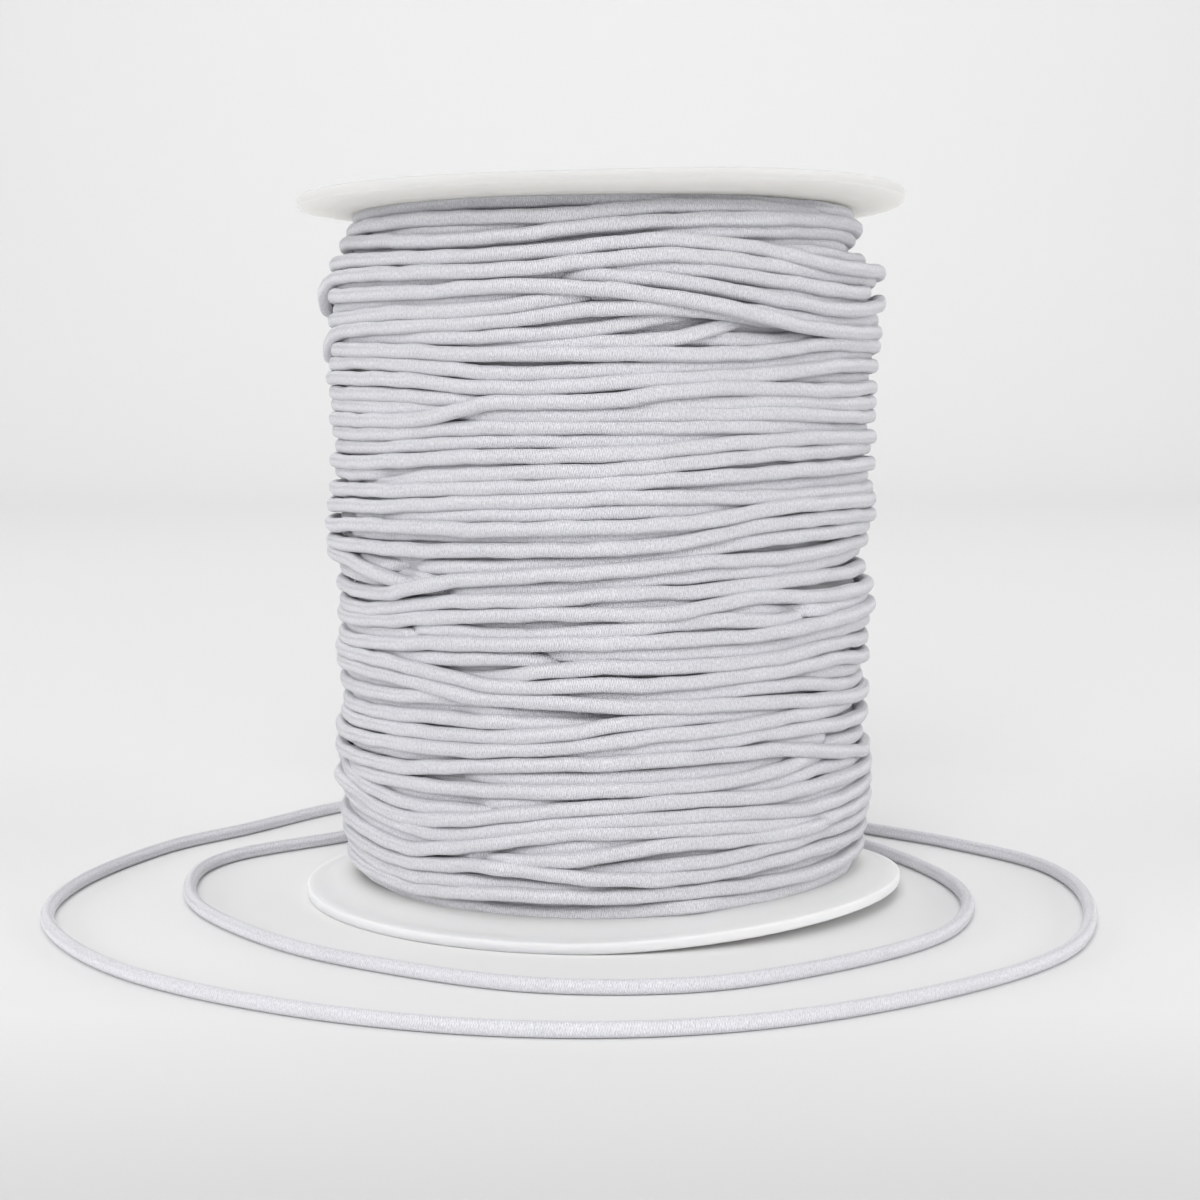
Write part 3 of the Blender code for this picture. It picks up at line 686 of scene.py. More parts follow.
    def bend_past_the_edge(self):
        """Bends the edge turns up or down, and out over their neighbours."""
        past = np.abs(ANGLES)
        bend = smoothstep((past - EDGE_FROM) / (EDGE_FULL - EDGE_FROM))
        bend *= 1.0 - smoothstep((past - EDGE_HELD) / (EDGE_TO - EDGE_HELD))
        for edge in EDGE_TURNS:
            end = 0 if edge.side < 0 else -1
            away = [abs(turn.run[end][1] - edge.height) if abs(turn.run[end][0]) >= SEEN_TO else np.inf
                    for turn in self.turns]
            own = int(np.argmin(away))
            share = np.where(np.sign(ANGLES) == edge.side, bend, 0.0)
            self.height[own] -= edge.drop * MM * share
            self.out[own] += edge.out * MM * share
            self.level[own] += edge.over * share

    def beside(self, values):
        """The values one column back and one column on along the cord, also across the back."""
        behind, ahead = np.roll(values, 1, axis=1), np.roll(values, -1, axis=1)
        behind[:, 0] = np.where(self.leading >= 0, values[self.leading, -1], values[:, 0])
        ahead[:, -1] = np.where(self.following >= 0, values[self.following, 0], values[:, -1])
        before, after = np.roll(self.there, 1, axis=1), np.roll(self.there, -1, axis=1)
        before[:, 0], after[:, -1] = self.leading >= 0, self.following >= 0
        return np.where(before, behind, values), np.where(after, ahead, values)

    def lay(self, cord_radius):
        """Each turn's distance from the axis. By itself a turn lies at its level's distance. Where one
        of a higher level comes nearer in height than `reach` to one of a lower level, the two should be
        the root of reach^2 - gap^2 apart, as one round cord on another: the higher is pushed out and
        the lower one in until they are. Meanwhile each is drawn straight along its length, less the
        fall of the way round, and gently back to its own distance. Turns of like levels squeeze
        closer together."""
        outline = outline_radius(self.height, ANGLES) + self.out - cord_radius
        rest = outline + np.interp(self.level, *LEVEL_OFFSETS)
        above = self.level[:, None] - self.level[None]
        reach = cord_radius * (NEAR + FURTHER * smoothstep(above / CLEAR))
        gap = self.height[:, None] - self.height[None]
        touches = (above > 0) & (np.abs(gap) < reach) & self.there[:, None] & self.there[None]
        over, under, column = np.nonzero(touches)
        apart = np.sqrt(reach[touches] ** 2 - gap[touches] ** 2)
        over, under = over * COLUMNS + column, under * COLUMNS + column
        size = self.height.size
        fall = np.cos(np.radians(360.0 / COLUMNS))
        radius = rest.copy()
        for step in range(LAY_STEPS):
            if step < DRAW_STEPS:
                behind, ahead = self.beside(radius)
                drawn = (behind + ahead) / 2 * fall
                radius = radius + DRAW * (drawn - radius) + RETURN * (rest - radius)
            flat = radius.ravel()
            short = np.clip(flat[under] + apart - flat[over], 0.0, None)
            out = np.bincount(over, short, size) / np.maximum(np.bincount(over, short > 0, size), 1)
            back = np.bincount(under, short, size) / np.maximum(np.bincount(under, short > 0, size), 1)
            radius = radius + (PUSH_OUT * out - PUSH_IN * back).reshape(radius.shape)
        for _ in range(2):
            behind, ahead = self.beside(radius)
            radius = (behind + 2 * radius + ahead) / 4
        return radius - self.sink * TUCK_DEPTH

    def line_of_sight(self, radius):
        """The seen heights moved to the turns' real distance from the axis, along the camera's rays."""
        facing = np.clip(np.cos(np.radians(ANGLES)), 0.0, None)
        deeper = (SEEN_RADIUS - radius) * facing
        reach = -CAMERA_PLACE[1] - SEEN_RADIUS * facing
        return self.height + deeper * (self.height - CAMERA_PLACE[2]) / reach

    def chains(self):
        """The turns strung together along the cord: a list of (turn, column) pairs for each length."""
        found = []
        for start in np.flatnonzero(self.leading < 0):
            turn, chain = start, []
            while turn >= 0:
                chain.extend((turn, column) for column in np.flatnonzero(self.there[turn]))
                turn = self.following[turn]
            found.append(np.array(chain))
        for own in range(len(self.turns), len(self.height)):
            columns = np.flatnonzero(self.there[own])
            columns = columns[np.argsort(np.mod(ANGLES[columns], 360.0))]
            found.append(np.array([(own, column) for column in columns]))
        return found


def chain_path(chain, height, radius, sink, seed):
    """The centreline of a length of wound cord, its outward direction and how thick it is against the
    whole, at each point. It wavers a little up and down, in and out and in thickness: each is a sum of
    sine waves along the cord, 7 to 30 mm long. Where it sinks under its neighbours it is pressed
    thinner."""
    turn, column = chain.T
    angle = np.radians(ANGLES[column])
    outward = np.stack([np.sin(angle), -np.cos(angle), np.zeros(len(angle))], axis=1)
    rng = np.random.default_rng(seed)
    along = np.arange(len(chain)) * np.radians(360.0 / COLUMNS) * SEEN_RADIUS
    lengths = np.array([0.0071, 0.0103, 0.0166, 0.0290])[:, None]
    phase = rng.uniform(0.0, 2 * np.pi, (3, 4, 1))
    up, out, thick = np.sin(2 * np.pi * along / lengths + phase).mean(axis=1)
    lumps = rng.normal(0.0, 1.0, (2, len(chain)))
    centres = outward * (radius[turn, column] + WAVER_OUT * out)[:, None]
    centres[:, 2] = height[turn, column] + WAVER_UP * up + LUMPS * MM * lumps[0]
    pressed = 1.0 - PRESSED * sink[turn, column]
    return centres, outward, pressed * (1.0 + WAVER_THICK * thick + LUMPS * lumps[1])


def cut_length(points, most):
    """Where to cut a path so that no piece has more than `most` points; neighbours share a point."""
    starts = range(0, points - 1, most - 1)
    return [slice(start, min(start + most, points)) for start in starts]


def under_turns_mesh(pitch):
    """The turns below as one ribbed drum: the radius at each height less a round groove between turns,
    which are `pitch` apart and sway with the height, closed by a flat fan over each end."""
    rows, columns = 340, 240
    swing, inset, groove = 0.35, 0.1 * MM, 0.95
    low, high = WOUND_ROLL[0].z, WOUND_ROLL[1].z
    angle = np.arange(columns + 1) * 360.0 / columns
    level = np.linspace(low, high, rows)
    angle, level = np.meshgrid(angle, level)
    turn = level / pitch + swing * sway(angle, level) + angle / 360.0
    radius = outline_radius(level, angle) - UNDER_DEPTH
    across = 2 * np.abs(turn - np.round(turn))
    radius = radius - inset - pitch / 2 * (1 - np.sqrt(1 - (across * groove) ** 2))
    a = np.radians(angle)
    points = np.stack([radius * np.sin(a), -radius * np.cos(a), level], axis=-1)[:, :columns]
    place = np.stack([SEEN_RADIUS * a, turn], axis=-1)
    row, side = np.meshgrid(np.arange(rows - 1), np.arange(columns), indexing="ij")
    corners = np.stack([place[row, side], place[row, side + 1], place[row + 1, side + 1],
                        place[row + 1, side]], axis=-2).reshape(-1, 4, 2)
    first = np.arange(columns)[::-1]
    last = (rows - 1) * columns + np.arange(columns)
    faces = closed_faces(rows, columns)
    return build_mesh("under_turns", [(points.reshape(-1, 3), faces, corners, (first, last))])


# The flanges

def curl_height(curl, x, y):
    """How far the curled flange stands above its flat part at (x, y)."""
    angle = np.radians(curl.angle)
    along = x * np.sin(angle) - y * np.cos(angle)
    share = np.clip((along - curl.start) / (FLANGE_RADIUS - curl.start), 0.0, None)
    return curl.rise * share**BEND_POWER


def flange_mesh(name, height, thickness, curl, swell):
    """A disc turned from its section: an outer and an inner face and an upright rim whose edges are
    rounded over a quarter circle each. The face towards the winding rises by `swell` from near the rim
    to where the turns begin, up on the lower flange and down, as a negative swell, on the upper one.
    Each point is then raised by the curl."""
    rings, corner_rings, columns = 36, 7, 288
    edge = 0.25 * thickness
    flat = FLANGE_RADIUS - edge
    radii = np.linspace(0.5 * MM, flat, rings)
    turn = np.linspace(np.pi / 2, 0.0, corner_rings)
    round_r, round_z = flat + edge * np.cos(turn[1:]), edge * np.sin(turn[1:])
    section_r = np.concatenate([radii, round_r, round_r[::-1], radii[::-1]])
    section_z = np.concatenate([np.full(rings, thickness), thickness - edge + round_z,
                                edge - round_z[::-1], np.zeros(rings)])
    inner = smoothstep((SWELL_START - section_r) / SWELL_WIDTH)
    rows = len(section_r)
    upper_face = np.arange(rows) < rows / 2
    section_z += swell * inner * (upper_face if swell > 0 else ~upper_face)
    a = np.arange(columns) * 2 * np.pi / columns
    x, y = np.outer(section_r, np.sin(a)), -np.outer(section_r, np.cos(a))
    z = height + section_z[:, None] + curl_height(curl, x, y)
    points = np.stack([x, y, z], axis=-1).reshape(-1, 3)
    faces = np.roll(closed_faces(rows, columns)[:, ::-1], 1, axis=1)
    corners = np.zeros((len(faces), 4, 2))
    first = np.arange(columns)
    last = (rows - 1) * columns + np.arange(columns)[::-1]
    return build_mesh(name, [(points, faces, corners, (first, last))])


# Materials

def shader(tree, kind, values=None, **settings):
    """A node with its settings and socket values."""
    made = tree.nodes.new(kind)
    for name, value in settings.items():
        setattr(made, name, value)
    for name, value in (values or {}).items():
        if isinstance(value, bpy.types.NodeSocket):
            tree.links.new(value, made.inputs[name])
        else:
            made.inputs[name].default_value = value
    return made


def maths(tree, operation, *values):
    """A Math node's result; each value is a number or a socket."""
    return shader(tree, "ShaderNodeMath", dict(enumerate(values)), operation=operation).outputs[0]


def spread(tree, value, middle, share):
    """How far a value is over its middle, times a share."""
    return maths(tree, "MULTIPLY", maths(tree, "SUBTRACT", value, middle), share)


def ramp(tree, value, start, end, low=0.0, high=1.0):
    """`low` up to `start`, `high` from `end` on, and straight between them."""
    return shader(tree, "ShaderNodeMapRange", {"Value": value, "From Min": start, "From Max": end,
                                               "To Min": low, "To Max": high}).outputs["Result"]


def two_tones(tree, share, plain, dark, light):
    """A plain colour times `dark` where the share is 0, times `light` where it is 1, mixed between."""
    mixed = shader(tree, "ShaderNodeMix", data_type="RGBA")
    tree.links.new(share, mixed.inputs[0])
    mixed.inputs[6].default_value = (*(c * dark for c in plain), 1.0)
    mixed.inputs[7].default_value = (*(c * light for c in plain), 1.0)
    return mixed.outputs[2]


def new_material(name):
    """A material, its node tree and its Principled shader."""
    made = bpy.data.materials.new(name)
    made.use_nodes = True
    return made, made.node_tree, made.node_tree.nodes["Principled BSDF"]


def new_group(name, inputs, outputs):
    """An empty shader node group with float or vector sockets, and its input and output nodes."""
    group = bpy.data.node_groups.new(name, "ShaderNodeTree")
    for socket, default in inputs.items():
        kind = "NodeSocketVector" if default is None else "NodeSocketFloat"
        made = group.interface.new_socket(socket, in_out="INPUT", socket_type=kind)
        if default is not None:
            made.default_value = default
    for socket, kind in outputs.items():
        group.interface.new_socket(socket, in_out="OUTPUT", socket_type=kind)
    return group, group.nodes.new("NodeGroupInput"), group.nodes.new("NodeGroupOutput")


def braided_cover_group():
    """The elastic's cover: two sets of yarns that run round the cord in opposite ways and pass over
    and under each other. `a` and `b` count the yarns of each set; the one on top changes at every
    crossing, and its height is a half sine across the yarn. Each yarn's stitches stand up unevenly:
    a noise that is short along the cord and long across it."""
    group, given, result = new_group(
        "braided_cover",
        {"Cord": None, "Yarns around": 9.0, "Yarns per metre": 1500.0, "Unevenness": 0.5},
        {"Height": "NodeSocketFloat", "Stitches": "NodeSocketFloat"})
    split = shader(group, "ShaderNodeSeparateXYZ", {"Vector": given.outputs["Cord"]})
    counted = maths(group, "MULTIPLY", split.outputs["X"], given.outputs["Yarns per metre"])
    around = maths(group, "MULTIPLY", split.outputs["Y"], given.outputs["Yarns around"])
    place = shader(group, "ShaderNodeCombineXYZ",
                   {"X": counted, "Y": maths(group, "MULTIPLY", around, 3.0)}).outputs[0]
    stitches = shader(group, "ShaderNodeTexNoise", {"Vector": place, "Scale": 1.0, "Detail": 2.0,
                                                    "Roughness": 0.6})
    shift = spread(group, stitches.outputs["Fac"], 0.5, given.outputs["Unevenness"])
    along = maths(group, "ADD", counted, shift)
    a, b = maths(group, "ADD", along, around), maths(group, "SUBTRACT", along, around)
    parity = maths(group, "MODULO", maths(group, "ABSOLUTE", maths(
        group, "ADD", maths(group, "FLOOR", a), maths(group, "FLOOR", b))), 2.0)
    ridge_a = maths(group, "SINE", maths(group, "MULTIPLY", maths(group, "FRACT", a), np.pi))
    ridge_b = maths(group, "SINE", maths(group, "MULTIPLY", maths(group, "FRACT", b), np.pi))
    over_a = maths(group, "MULTIPLY", ridge_a, parity)
    over_b = maths(group, "MULTIPLY", ridge_b, maths(group, "SUBTRACT", 1.0, parity))
    group.links.new(maths(group, "ADD", over_a, over_b), result.inputs["Height"])
    group.links.new(stitches.outputs["Fac"], result.inputs["Stitches"])
    return group


def braided_cover():
    """The cover's node group, made the first time that it is asked for."""
    return bpy.data.node_groups.get("braided_cover") or braided_cover_group()


def elastic_material(name, settings, cover, depth, painted_glint):
    """White braided elastic: the cover's yarns in low relief, with painted shade in the hollows between the
    yarns and painted light on their crowns, painted glints on the stitches, tone that varies a little along
    the cord, gloss that varies a little from yarn to yarn, and a soft sheen. The tone runs from `darkest`
    to
    `lightest` against the settings' colour: the painted shade and light with the yarns' relief, the painted
    glints with the stitches, and `by_place` slowly over the piece."""
    darkest, lightest = 0.81, 1.16
    painted_yarn_shade, by_place, patch_scale = 0.55, 0.35, 220.0
    dullest, shinier = 0.70, 0.40
    made, tree, surface = new_material(name)
    place = shader(tree, "ShaderNodeTexCoord")
    yarns = shader(tree, "ShaderNodeGroup", node_tree=cover)
    tree.links.new(place.outputs["UV"], yarns.inputs["Cord"])
    yarns.inputs["Yarns around"].default_value = settings.yarns_around
    yarns.inputs["Yarns per metre"].default_value = 1 / settings.yarn_pitch
    drift = shader(tree, "ShaderNodeTexNoise",
                   {"Vector": place.outputs["Object"], "Scale": patch_scale, "Detail": 3.0})
    # Painted shade between the yarns and painted light on their crowns, then painted glints on the
    # stitches.
    yarn = spread(tree, yarns.outputs["Height"], 0.6, painted_yarn_shade)
    stitch = spread(tree, yarns.outputs["Stitches"], 0.5, painted_glint)
    slow = spread(tree, drift.outputs["Fac"], 0.5, by_place)
    tone = maths(tree, "ADD", maths(tree, "ADD", yarn, stitch), maths(tree, "ADD", slow, 0.5))
    toned = two_tones(tree, tone, settings.cover_colour, darkest, lightest)
    tree.links.new(toned, surface.inputs["Base Color"])
    gloss = maths(tree, "MULTIPLY", yarns.outputs["Stitches"], shinier)
    tree.links.new(maths(tree, "SUBTRACT", dullest, gloss), surface.inputs["Roughness"])
    height = maths(tree, "ADD", yarns.outputs["Height"], yarns.outputs["Stitches"])
    bump = shader(tree, "ShaderNodeBump", {"Height": height, "Strength": 1.0, "Distance": depth})
    tree.links.new(bump.outputs["Normal"], surface.inputs["Normal"])
    surface.inputs["Sheen Weight"].default_value = 0.25
    surface.inputs["Sheen Roughness"].default_value = 0.5
    surface.inputs["Specular IOR Level"].default_value = 0.35
    return made


def moulded_grain_group():
    """The unevenness of moulded plastic: two noises over the piece's own coordinates, a broad one for
    the way the plastic flowed and a fine one for scuffs."""
    group, given, result = new_group(
        "moulded_grain", {"Place": None, "Flow scale": 45.0, "Grain scale": 1800.0},
        {"Flow": "NodeSocketFloat", "Grain": "NodeSocketFloat"})
    for scale, output in (("Flow scale", "Flow"), ("Grain scale", "Grain")):
        noise = shader(group, "ShaderNodeTexNoise", {"Vector": given.outputs["Place"],
                                                     "Scale": given.outputs[scale], "Detail": 2.0})
        group.links.new(noise.outputs["Fac"], result.inputs[output])
    return group


def flange_material(name, settings, moulded, tone, depth):
    """White moulded plastic: satin, faintly warm, with soft flow unevenness and fine scuffs. Light goes
    a little way into it and comes out again: `depth` at the rim, and a tenth of that over the winding.
    `tone` is the rim's lightness against the settings' colour: painted light where it is over 1 and painted
    shade where it is under. The colour is up to `flowed` times as light with the flow, and the roughness is
    `satin` and up to `scuffed` more with the grain."""
    flowed, satin, scuffed = 1.03, 0.50, 0.16
    made, tree, surface = new_material(name)
    place = shader(tree, "ShaderNodeTexCoord")
    uneven = shader(tree, "ShaderNodeGroup", {"Place": place.outputs["Object"], "Flow scale": 45.0,
                                              "Grain scale": 1800.0}, node_tree=moulded)
    mixed = two_tones(tree, uneven.outputs["Flow"], settings.plastic_colour, 1.0, flowed)
    split = shader(tree, "ShaderNodeSeparateXYZ", {"Vector": place.outputs["Object"]})
    flat = shader(tree, "ShaderNodeCombineXYZ", {"X": split.outputs["X"], "Y": split.outputs["Y"]})
    out = shader(tree, "ShaderNodeVectorMath", {0: flat.outputs[0]}, operation="LENGTH")
    # Painted light or painted shade on the rim: its colour times `tone`.
    rim = ramp(tree, out.outputs["Value"], RIM_FROM, RIM_TO)
    toned = shader(tree, "ShaderNodeVectorMath", {0: mixed}, operation="SCALE")
    tree.links.new(maths(tree, "MULTIPLY_ADD", rim, tone - 1.0, 1.0), toned.inputs["Scale"])
    tree.links.new(toned.outputs["Vector"], surface.inputs["Base Color"])
    rough = maths(tree, "ADD", satin, maths(tree, "MULTIPLY", uneven.outputs["Grain"], scuffed))
    tree.links.new(rough, surface.inputs["Roughness"])
    height = maths(tree, "ADD", maths(tree, "MULTIPLY", uneven.outputs["Flow"], 2.0),
                   uneven.outputs["Grain"])
    bump = shader(tree, "ShaderNodeBump", {"Height": height, "Strength": 0.25, "Distance": 0.00003})
    tree.links.new(bump.outputs["Normal"], surface.inputs["Normal"])
    surface.inputs["Specular IOR Level"].default_value = 0.25
    surface.inputs["Subsurface Weight"].default_value = 1.0
    surface.inputs["Subsurface Radius"].default_value = (1.0, 0.95, 0.85)
    shallow = 0.1 * depth
    tree.links.new(maths(tree, "MULTIPLY_ADD", rim, depth - shallow, shallow),
                   surface.inputs["Subsurface Scale"])
    return made


def paper_material(name, colour, roughness):
    """The stage's matt paper, with painted light a little lighter under the roll and painted shade a little
    darker in front.
    """
    made, tree, surface = new_material(name)
    place = shader(tree, "ShaderNodeTexCoord").outputs["Object"]
    split = shader(tree, "ShaderNodeSeparateXYZ", {"Vector": place})
    out = shader(tree, "ShaderNodeVectorMath", {0: place}, operation="LENGTH")
    # Painted shade in front of the roll, and painted light close round it.
    front = ramp(tree, split.outputs["Y"], *FRONT_BAND, low=FRONT_PAINTED_SHADE)
    near = ramp(tree, out.outputs["Value"], *NEAR_BAND, low=NEAR_PAINTED_LIGHT)
    tone = maths(tree, "MULTIPLY", front, near)
    graded = shader(tree, "ShaderNodeVectorMath", {0: colour}, operation="SCALE")
    tree.links.new(tone, graded.inputs["Scale"])
    tree.links.new(graded.outputs["Vector"], surface.inputs["Base Color"])
    surface.inputs["Roughness"].default_value = roughness
    surface.inputs["Specular IOR Level"].default_value = 0.1
    return made


# Lights

def add_light(name, place, target, size, power):
    """A square area light at `place` that faces `target`."""
    lamp = bpy.data.lights.new(name, "AREA")
    lamp.size = size
    lamp.energy = power
    made = bpy.data.objects.new(name, lamp)
    bpy.context.scene.collection.objects.link(made)
    made.location = place
    made.rotation_euler = (Vector(target) - Vector(place)).to_track_quat("-Z", "Y").to_euler()
    return made


# What a user would change

def length_setting(name, description, default, low, high):
    """A setting in metres."""
    return FloatProperty(name=name, description=description, default=default, min=low, max=high,
                         unit="LENGTH", precision=5)


def colour_setting(name, description, default):
    """A setting for a plain colour."""
    return FloatVectorProperty(name=name, description=description, default=default, min=0.0, max=1.0,
                               size=3, subtype="COLOR")


def power_setting(name, description, default):
    """A setting for a light's power in watts."""
    return FloatProperty(name=name, description=description, default=default, min=0.0, unit="POWER")


class ElasticSettings(PropertyGroup):
    wound_diameter: length_setting(
        "Wound diameter", "Thickness of the cord under the pull of winding", 0.00196, 0.001, 0.004)
    loose_diameter: length_setting(
        "Loose diameter", "Thickness of the free end", CORD_DIAMETER, 0.001, 0.004)
    drift: length_setting("Drift", "How far the turns wander up and down at the back", 0.0007, 0.0, 0.003)
    yarn_pitch: length_setting(
        "Yarn pitch", "Distance along the cord from one yarn of the cover to the next",
        0.00031, 0.0001, 0.003)
    yarns_around: IntProperty(
        name="Yarns around", description="Yarns of each direction round the cord", default=5, min=4, max=24)
    cover_colour: colour_setting("Cover colour", "Colour of the cover's yarns", (0.762, 0.764, 0.802))


class SpoolSettings(PropertyGroup):
    thickness: length_setting("Flange thickness", "Thickness of both flanges", 0.0015, 0.0005, 0.005)
    lower_swell: length_setting(
        "Lower swell", "How much thicker the lower flange is under the turns", 0.0015, 0.0, 0.003)
    upper_swell: length_setting(
        "Upper swell", "How much thicker the upper flange is over the turns", 0.0009, 0.0, 0.003)
    plastic_colour: colour_setting("Plastic colour", "Colour of the flanges", (0.76, 0.755, 0.742))


class StudioSettings(PropertyGroup):
    floor_colour: colour_setting("Paper colour", "Colour of the floor and the backdrop", (0.82, 0.82, 0.82))
    key_power: power_setting("Key light", "Power of the soft light in front and above", 6.8)
    over_power: power_setting("Overhead light", "Power of the soft light over the spool", 1.2)
    front_power: power_setting("Front light", "Power of the low soft light in front", 1.2)
    side_power: power_setting("Side lights", "Power of each of the two low side lights", 11.2)
    backdrop_power: power_setting("Backdrop light", "Power of the light on the backdrop", 14.9)
    room_power: power_setting("Room lights", "Power of each light on the paper further out", 14.0)
    sky: FloatProperty(
        name="Sky", description="Strength of the light from all round", default=0.31, min=0.0)


# Operators, one for each group of pieces

class ROLL_OT_make_flanges(Operator):
    """Makes the two thin flanges in place of their plain solids"""
    bl_idname = "elastic_roll.make_flanges"
    bl_label = "Make the flanges"

    def execute(self, context):
        settings = context.scene.spool
        moulded = moulded_grain_group()
        # The first rim tone is painted light on the lower flange, the second painted shade on the upper
        # one.
        for node, box, curl, swell, tone, depth in (
                ("flange_bottom", LOWER_FLANGE, LOWER_CURL, settings.lower_swell, 1.04, 0.005),
                ("flange_top", UPPER_FLANGE, UPPER_CURL, -settings.upper_swell, 0.61, 0.03)):
            mesh = flange_mesh(node + "_moulded", box[0].z, settings.thickness, curl, swell)
            look = flange_material(node + "_plastic", settings, moulded, tone, depth)
            piece = add_piece(node + "_moulded", mesh, look)
            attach(piece, "root")
            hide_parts(node)
        return {"FINISHED"}


class ROLL_OT_wind_turns(Operator):
    """Winds the turns, each over the ones below it, in place of the plain wound form"""
    bl_idname = "elastic_roll.wind_turns"
    bl_label = "Wind the turns"

    rings_per_piece = 6000
    sides = 16
    squareness = 2.55

    def execute(self, context):
        settings = context.scene.elastic
        cord_radius = settings.wound_diameter / 2
        look = elastic_material("wound_elastic", settings, braided_cover(), depth=0.00012, painted_glint=1.9)
        winding = Winding(FRONT_TURNS, settings.drift)
        radius = winding.lay(cord_radius)
        seen = winding.height
        for _ in range(2):
            winding.height = seen
            winding.height = winding.line_of_sight(radius)
            radius = winding.lay(cord_radius)
        batches, rings = [[]], 0
        for seed, chain in enumerate(winding.chains()):
            centres, outward, thick = chain_path(chain, winding.height, radius, winding.sink, seed)
            for cut in cut_length(len(chain), self.rings_per_piece // 2):
                if rings + cut.stop - cut.start > self.rings_per_piece:
                    batches.append([])
                    rings = 0
                batches[-1].append(tube(centres[cut], outward[cut], cord_radius * thick[cut],
                                        self.sides, self.squareness))
                rings += cut.stop - cut.start
        for number, batch in enumerate(batches, 1):
            name = f"wound_turns_{number}"
            piece = add_piece(name, build_mesh(name, batch), look)
            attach(piece, "root")
            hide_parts("elastic_roll")
        drum = add_piece("under_turns", under_turns_mesh(settings.wound_diameter), look)
        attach(drum, "root")
        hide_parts("elastic_roll")
        return {"FINISHED"}


class ROLL_OT_lay_loose_end(Operator):
    """Lays the free cord on the surface, round the spool to its cut end"""
    bl_idname = "elastic_roll.lay_loose_end"
    bl_label = "Lay the loose end"

    rings = 900
    sides = 20

    def execute(self, context):
        settings = context.scene.elastic
        centres = smooth_route(LOOSE_ROUTE, self.rings)
        radius = settings.loose_diameter / 2
        up = np.tile((0.0, 0.0, 1.0), (self.rings, 1))
        thickness = np.full(self.rings, radius)
        mesh = build_mesh("loose_elastic", [tube(centres, up, thickness, self.sides)])
        look = elastic_material("loose_elastic", settings, braided_cover(), depth=0.00008, painted_glint=1.8)
        piece = add_piece("loose_elastic", mesh, look)
        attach(piece, "root")
        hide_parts("loose_end")
        return {"FINISHED"}


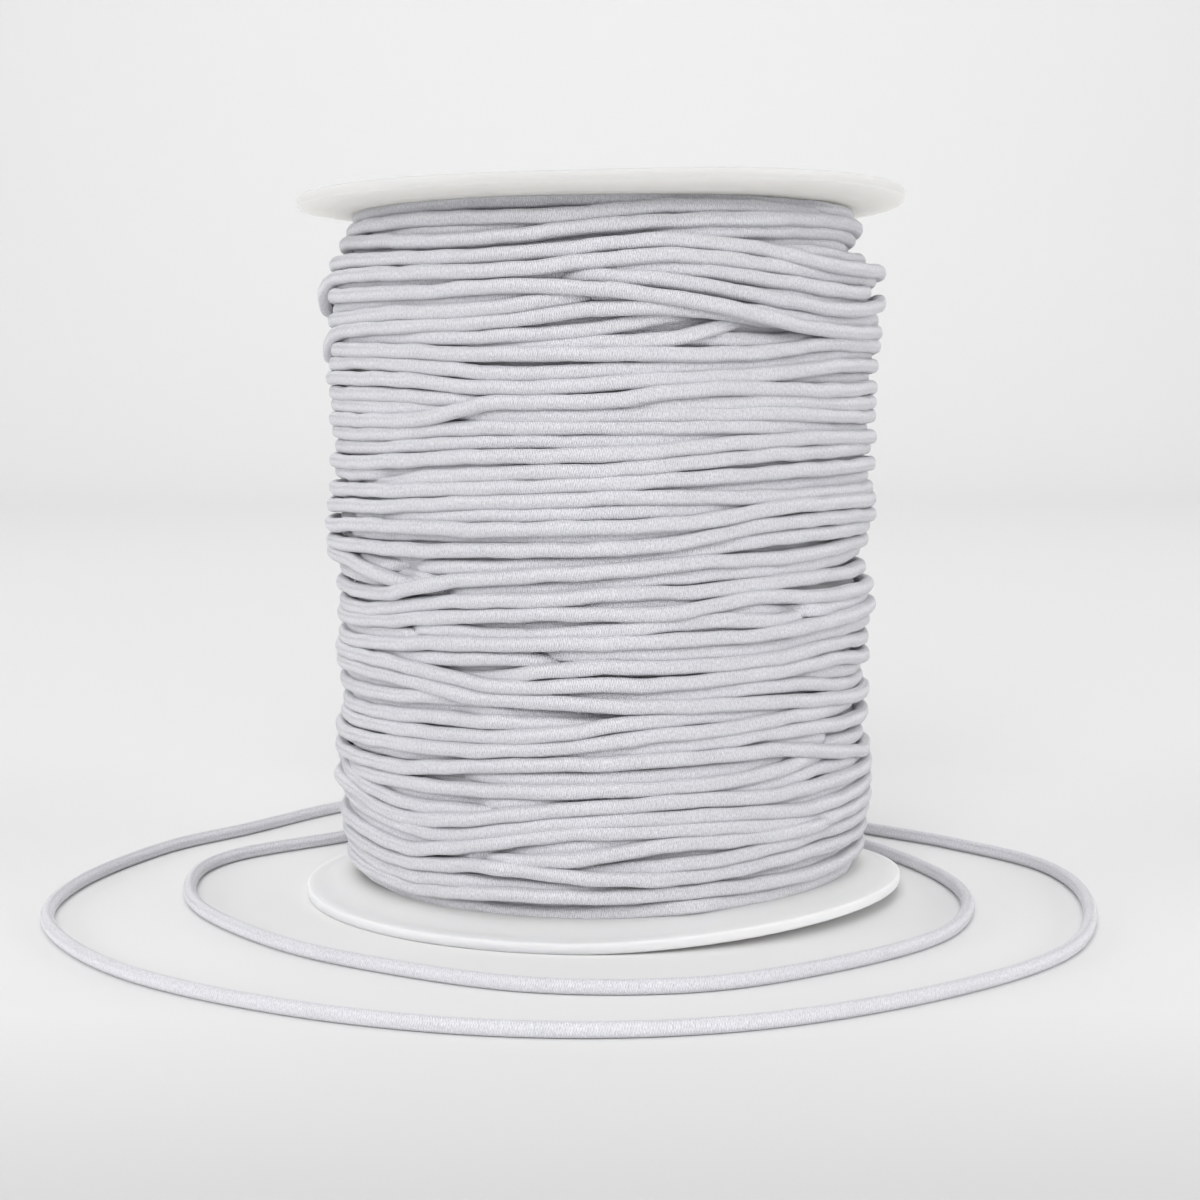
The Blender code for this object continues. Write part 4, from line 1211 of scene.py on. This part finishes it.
class ROLL_OT_set_studio(Operator):
    """Sets the pale paper floor and backdrop, the soft lights and the camera"""
    bl_idname = "elastic_roll.set_studio"
    bl_label = "Set the studio"

    def execute(self, context):
        settings = context.scene.studio
        paper = paper_material("paper", settings.floor_colour, 0.9)
        bend = np.linspace(0.1, np.pi / 2, 16)
        across = np.linspace(-PAPER_REACH, PAPER_REACH, 5)
        depth = np.concatenate([np.linspace(-PAPER_REACH, BEND_START, 14),
                                BEND_START + BEND_RADIUS * np.sin(bend),
                                np.full(4, BEND_START + BEND_RADIUS)])
        height = np.concatenate([np.zeros(14), BEND_RADIUS * (1 - np.cos(bend)),
                                 np.linspace(1.5 * BEND_RADIUS, PAPER_TOP, 4)])
        x, y = np.meshgrid(across, depth)
        z = np.repeat(height[:, None], len(across), axis=1)
        points = np.stack([x, y, z], axis=-1).reshape(-1, 3)
        quads = grid_faces(len(depth), len(across))
        floor = build_mesh("paper_sweep", [(points, quads, np.zeros((len(quads), 4, 2)), ())])
        add_piece("paper_sweep", floor, paper)

        add_light("key", (-0.12, -1.06, 0.74), LIT_POINT, 0.7, settings.key_power)
        add_light("over", (-0.06, -0.14, 1.15), LIT_POINT, 0.6, settings.over_power)
        add_light("front", (0.0, -1.30, 0.30), LIT_POINT, 0.9, settings.front_power)
        for side in (-1, 1):
            add_light("side", (1.35 * side, -0.45, 0.25), LIT_POINT, 0.9, settings.side_power)
        add_light("backdrop", (0.0, 0.85, 1.65), (0.0, 1.85, 0.6), 1.9, settings.backdrop_power)
        for x, y in ((0.0, -1.0), (-1.0, 0.0), (1.0, 0.0)):
            add_light("room", (1.6 * x, 1.6 * y, 1.3), (4.5 * x, 4.5 * y, 0.0), 2.0, settings.room_power)
        world = bpy.data.worlds.new("room")
        world.use_nodes = True
        tree = world.node_tree
        seen = shader(tree, "ShaderNodeLightPath").outputs["Is Camera Ray"]
        strength = maths(tree, "MULTIPLY_ADD", seen, ROOM_SEEN - settings.sky, settings.sky)
        tree.nodes["Background"].inputs["Color"].default_value = (1.0, 1.0, 1.0, 1.0)
        tree.links.new(strength, tree.nodes["Background"].inputs["Strength"])
        context.scene.world = world

        camera = bpy.data.objects.new("camera", bpy.data.cameras.new("camera"))
        context.scene.collection.objects.link(camera)
        camera.data.lens = CAMERA_LENS
        camera.data.sensor_fit = "HORIZONTAL"
        camera.data.sensor_width = SENSOR_WIDTH
        camera.data.clip_start = 0.01
        turned = Matrix.Rotation(np.radians(90 - CAMERA_PITCH), 4, "X")
        rolled = Matrix.Rotation(np.radians(CAMERA_ROLL), 4, "Z")
        camera.matrix_world = Matrix.Translation(CAMERA_PLACE) @ turned @ rolled
        context.scene.camera = camera
        context.scene.view_settings.view_transform = "Standard"
        return {"FINISHED"}


class ROLL_PT_panel(Panel):
    """Lists the steps and their sizes in the sidebar"""
    bl_idname = "ROLL_PT_panel"
    bl_label = "Roll of Elastic"
    bl_space_type = "VIEW_3D"
    bl_region_type = "UI"
    bl_category = "Elastic"

    def draw(self, context):
        scene = context.scene
        for settings, step in ((scene.studio, ROLL_OT_set_studio), (scene.spool, ROLL_OT_make_flanges),
                               (scene.elastic, ROLL_OT_wind_turns), (None, ROLL_OT_lay_loose_end)):
            box = self.layout.box()
            if settings:
                for name in settings.__annotations__:
                    box.prop(settings, name)
            box.operator(step.bl_idname)


CLASSES = (ElasticSettings, SpoolSettings, StudioSettings, ROLL_OT_make_flanges, ROLL_OT_wind_turns,
           ROLL_OT_lay_loose_end, ROLL_OT_set_studio, ROLL_PT_panel)


def register():
    for each in CLASSES:
        bpy.utils.register_class(each)
    bpy.types.Scene.elastic = PointerProperty(type=ElasticSettings)
    bpy.types.Scene.spool = PointerProperty(type=SpoolSettings)
    bpy.types.Scene.studio = PointerProperty(type=StudioSettings)


def unregister():
    del bpy.types.Scene.elastic, bpy.types.Scene.spool, bpy.types.Scene.studio
    for each in reversed(CLASSES):
        bpy.utils.unregister_class(each)


def main():
    register()
    bpy.ops.elastic_roll.set_studio()
    bpy.ops.elastic_roll.wind_turns()
    bpy.ops.elastic_roll.lay_loose_end()
    bpy.ops.elastic_roll.make_flanges()


if __name__ == "__main__":
    main()
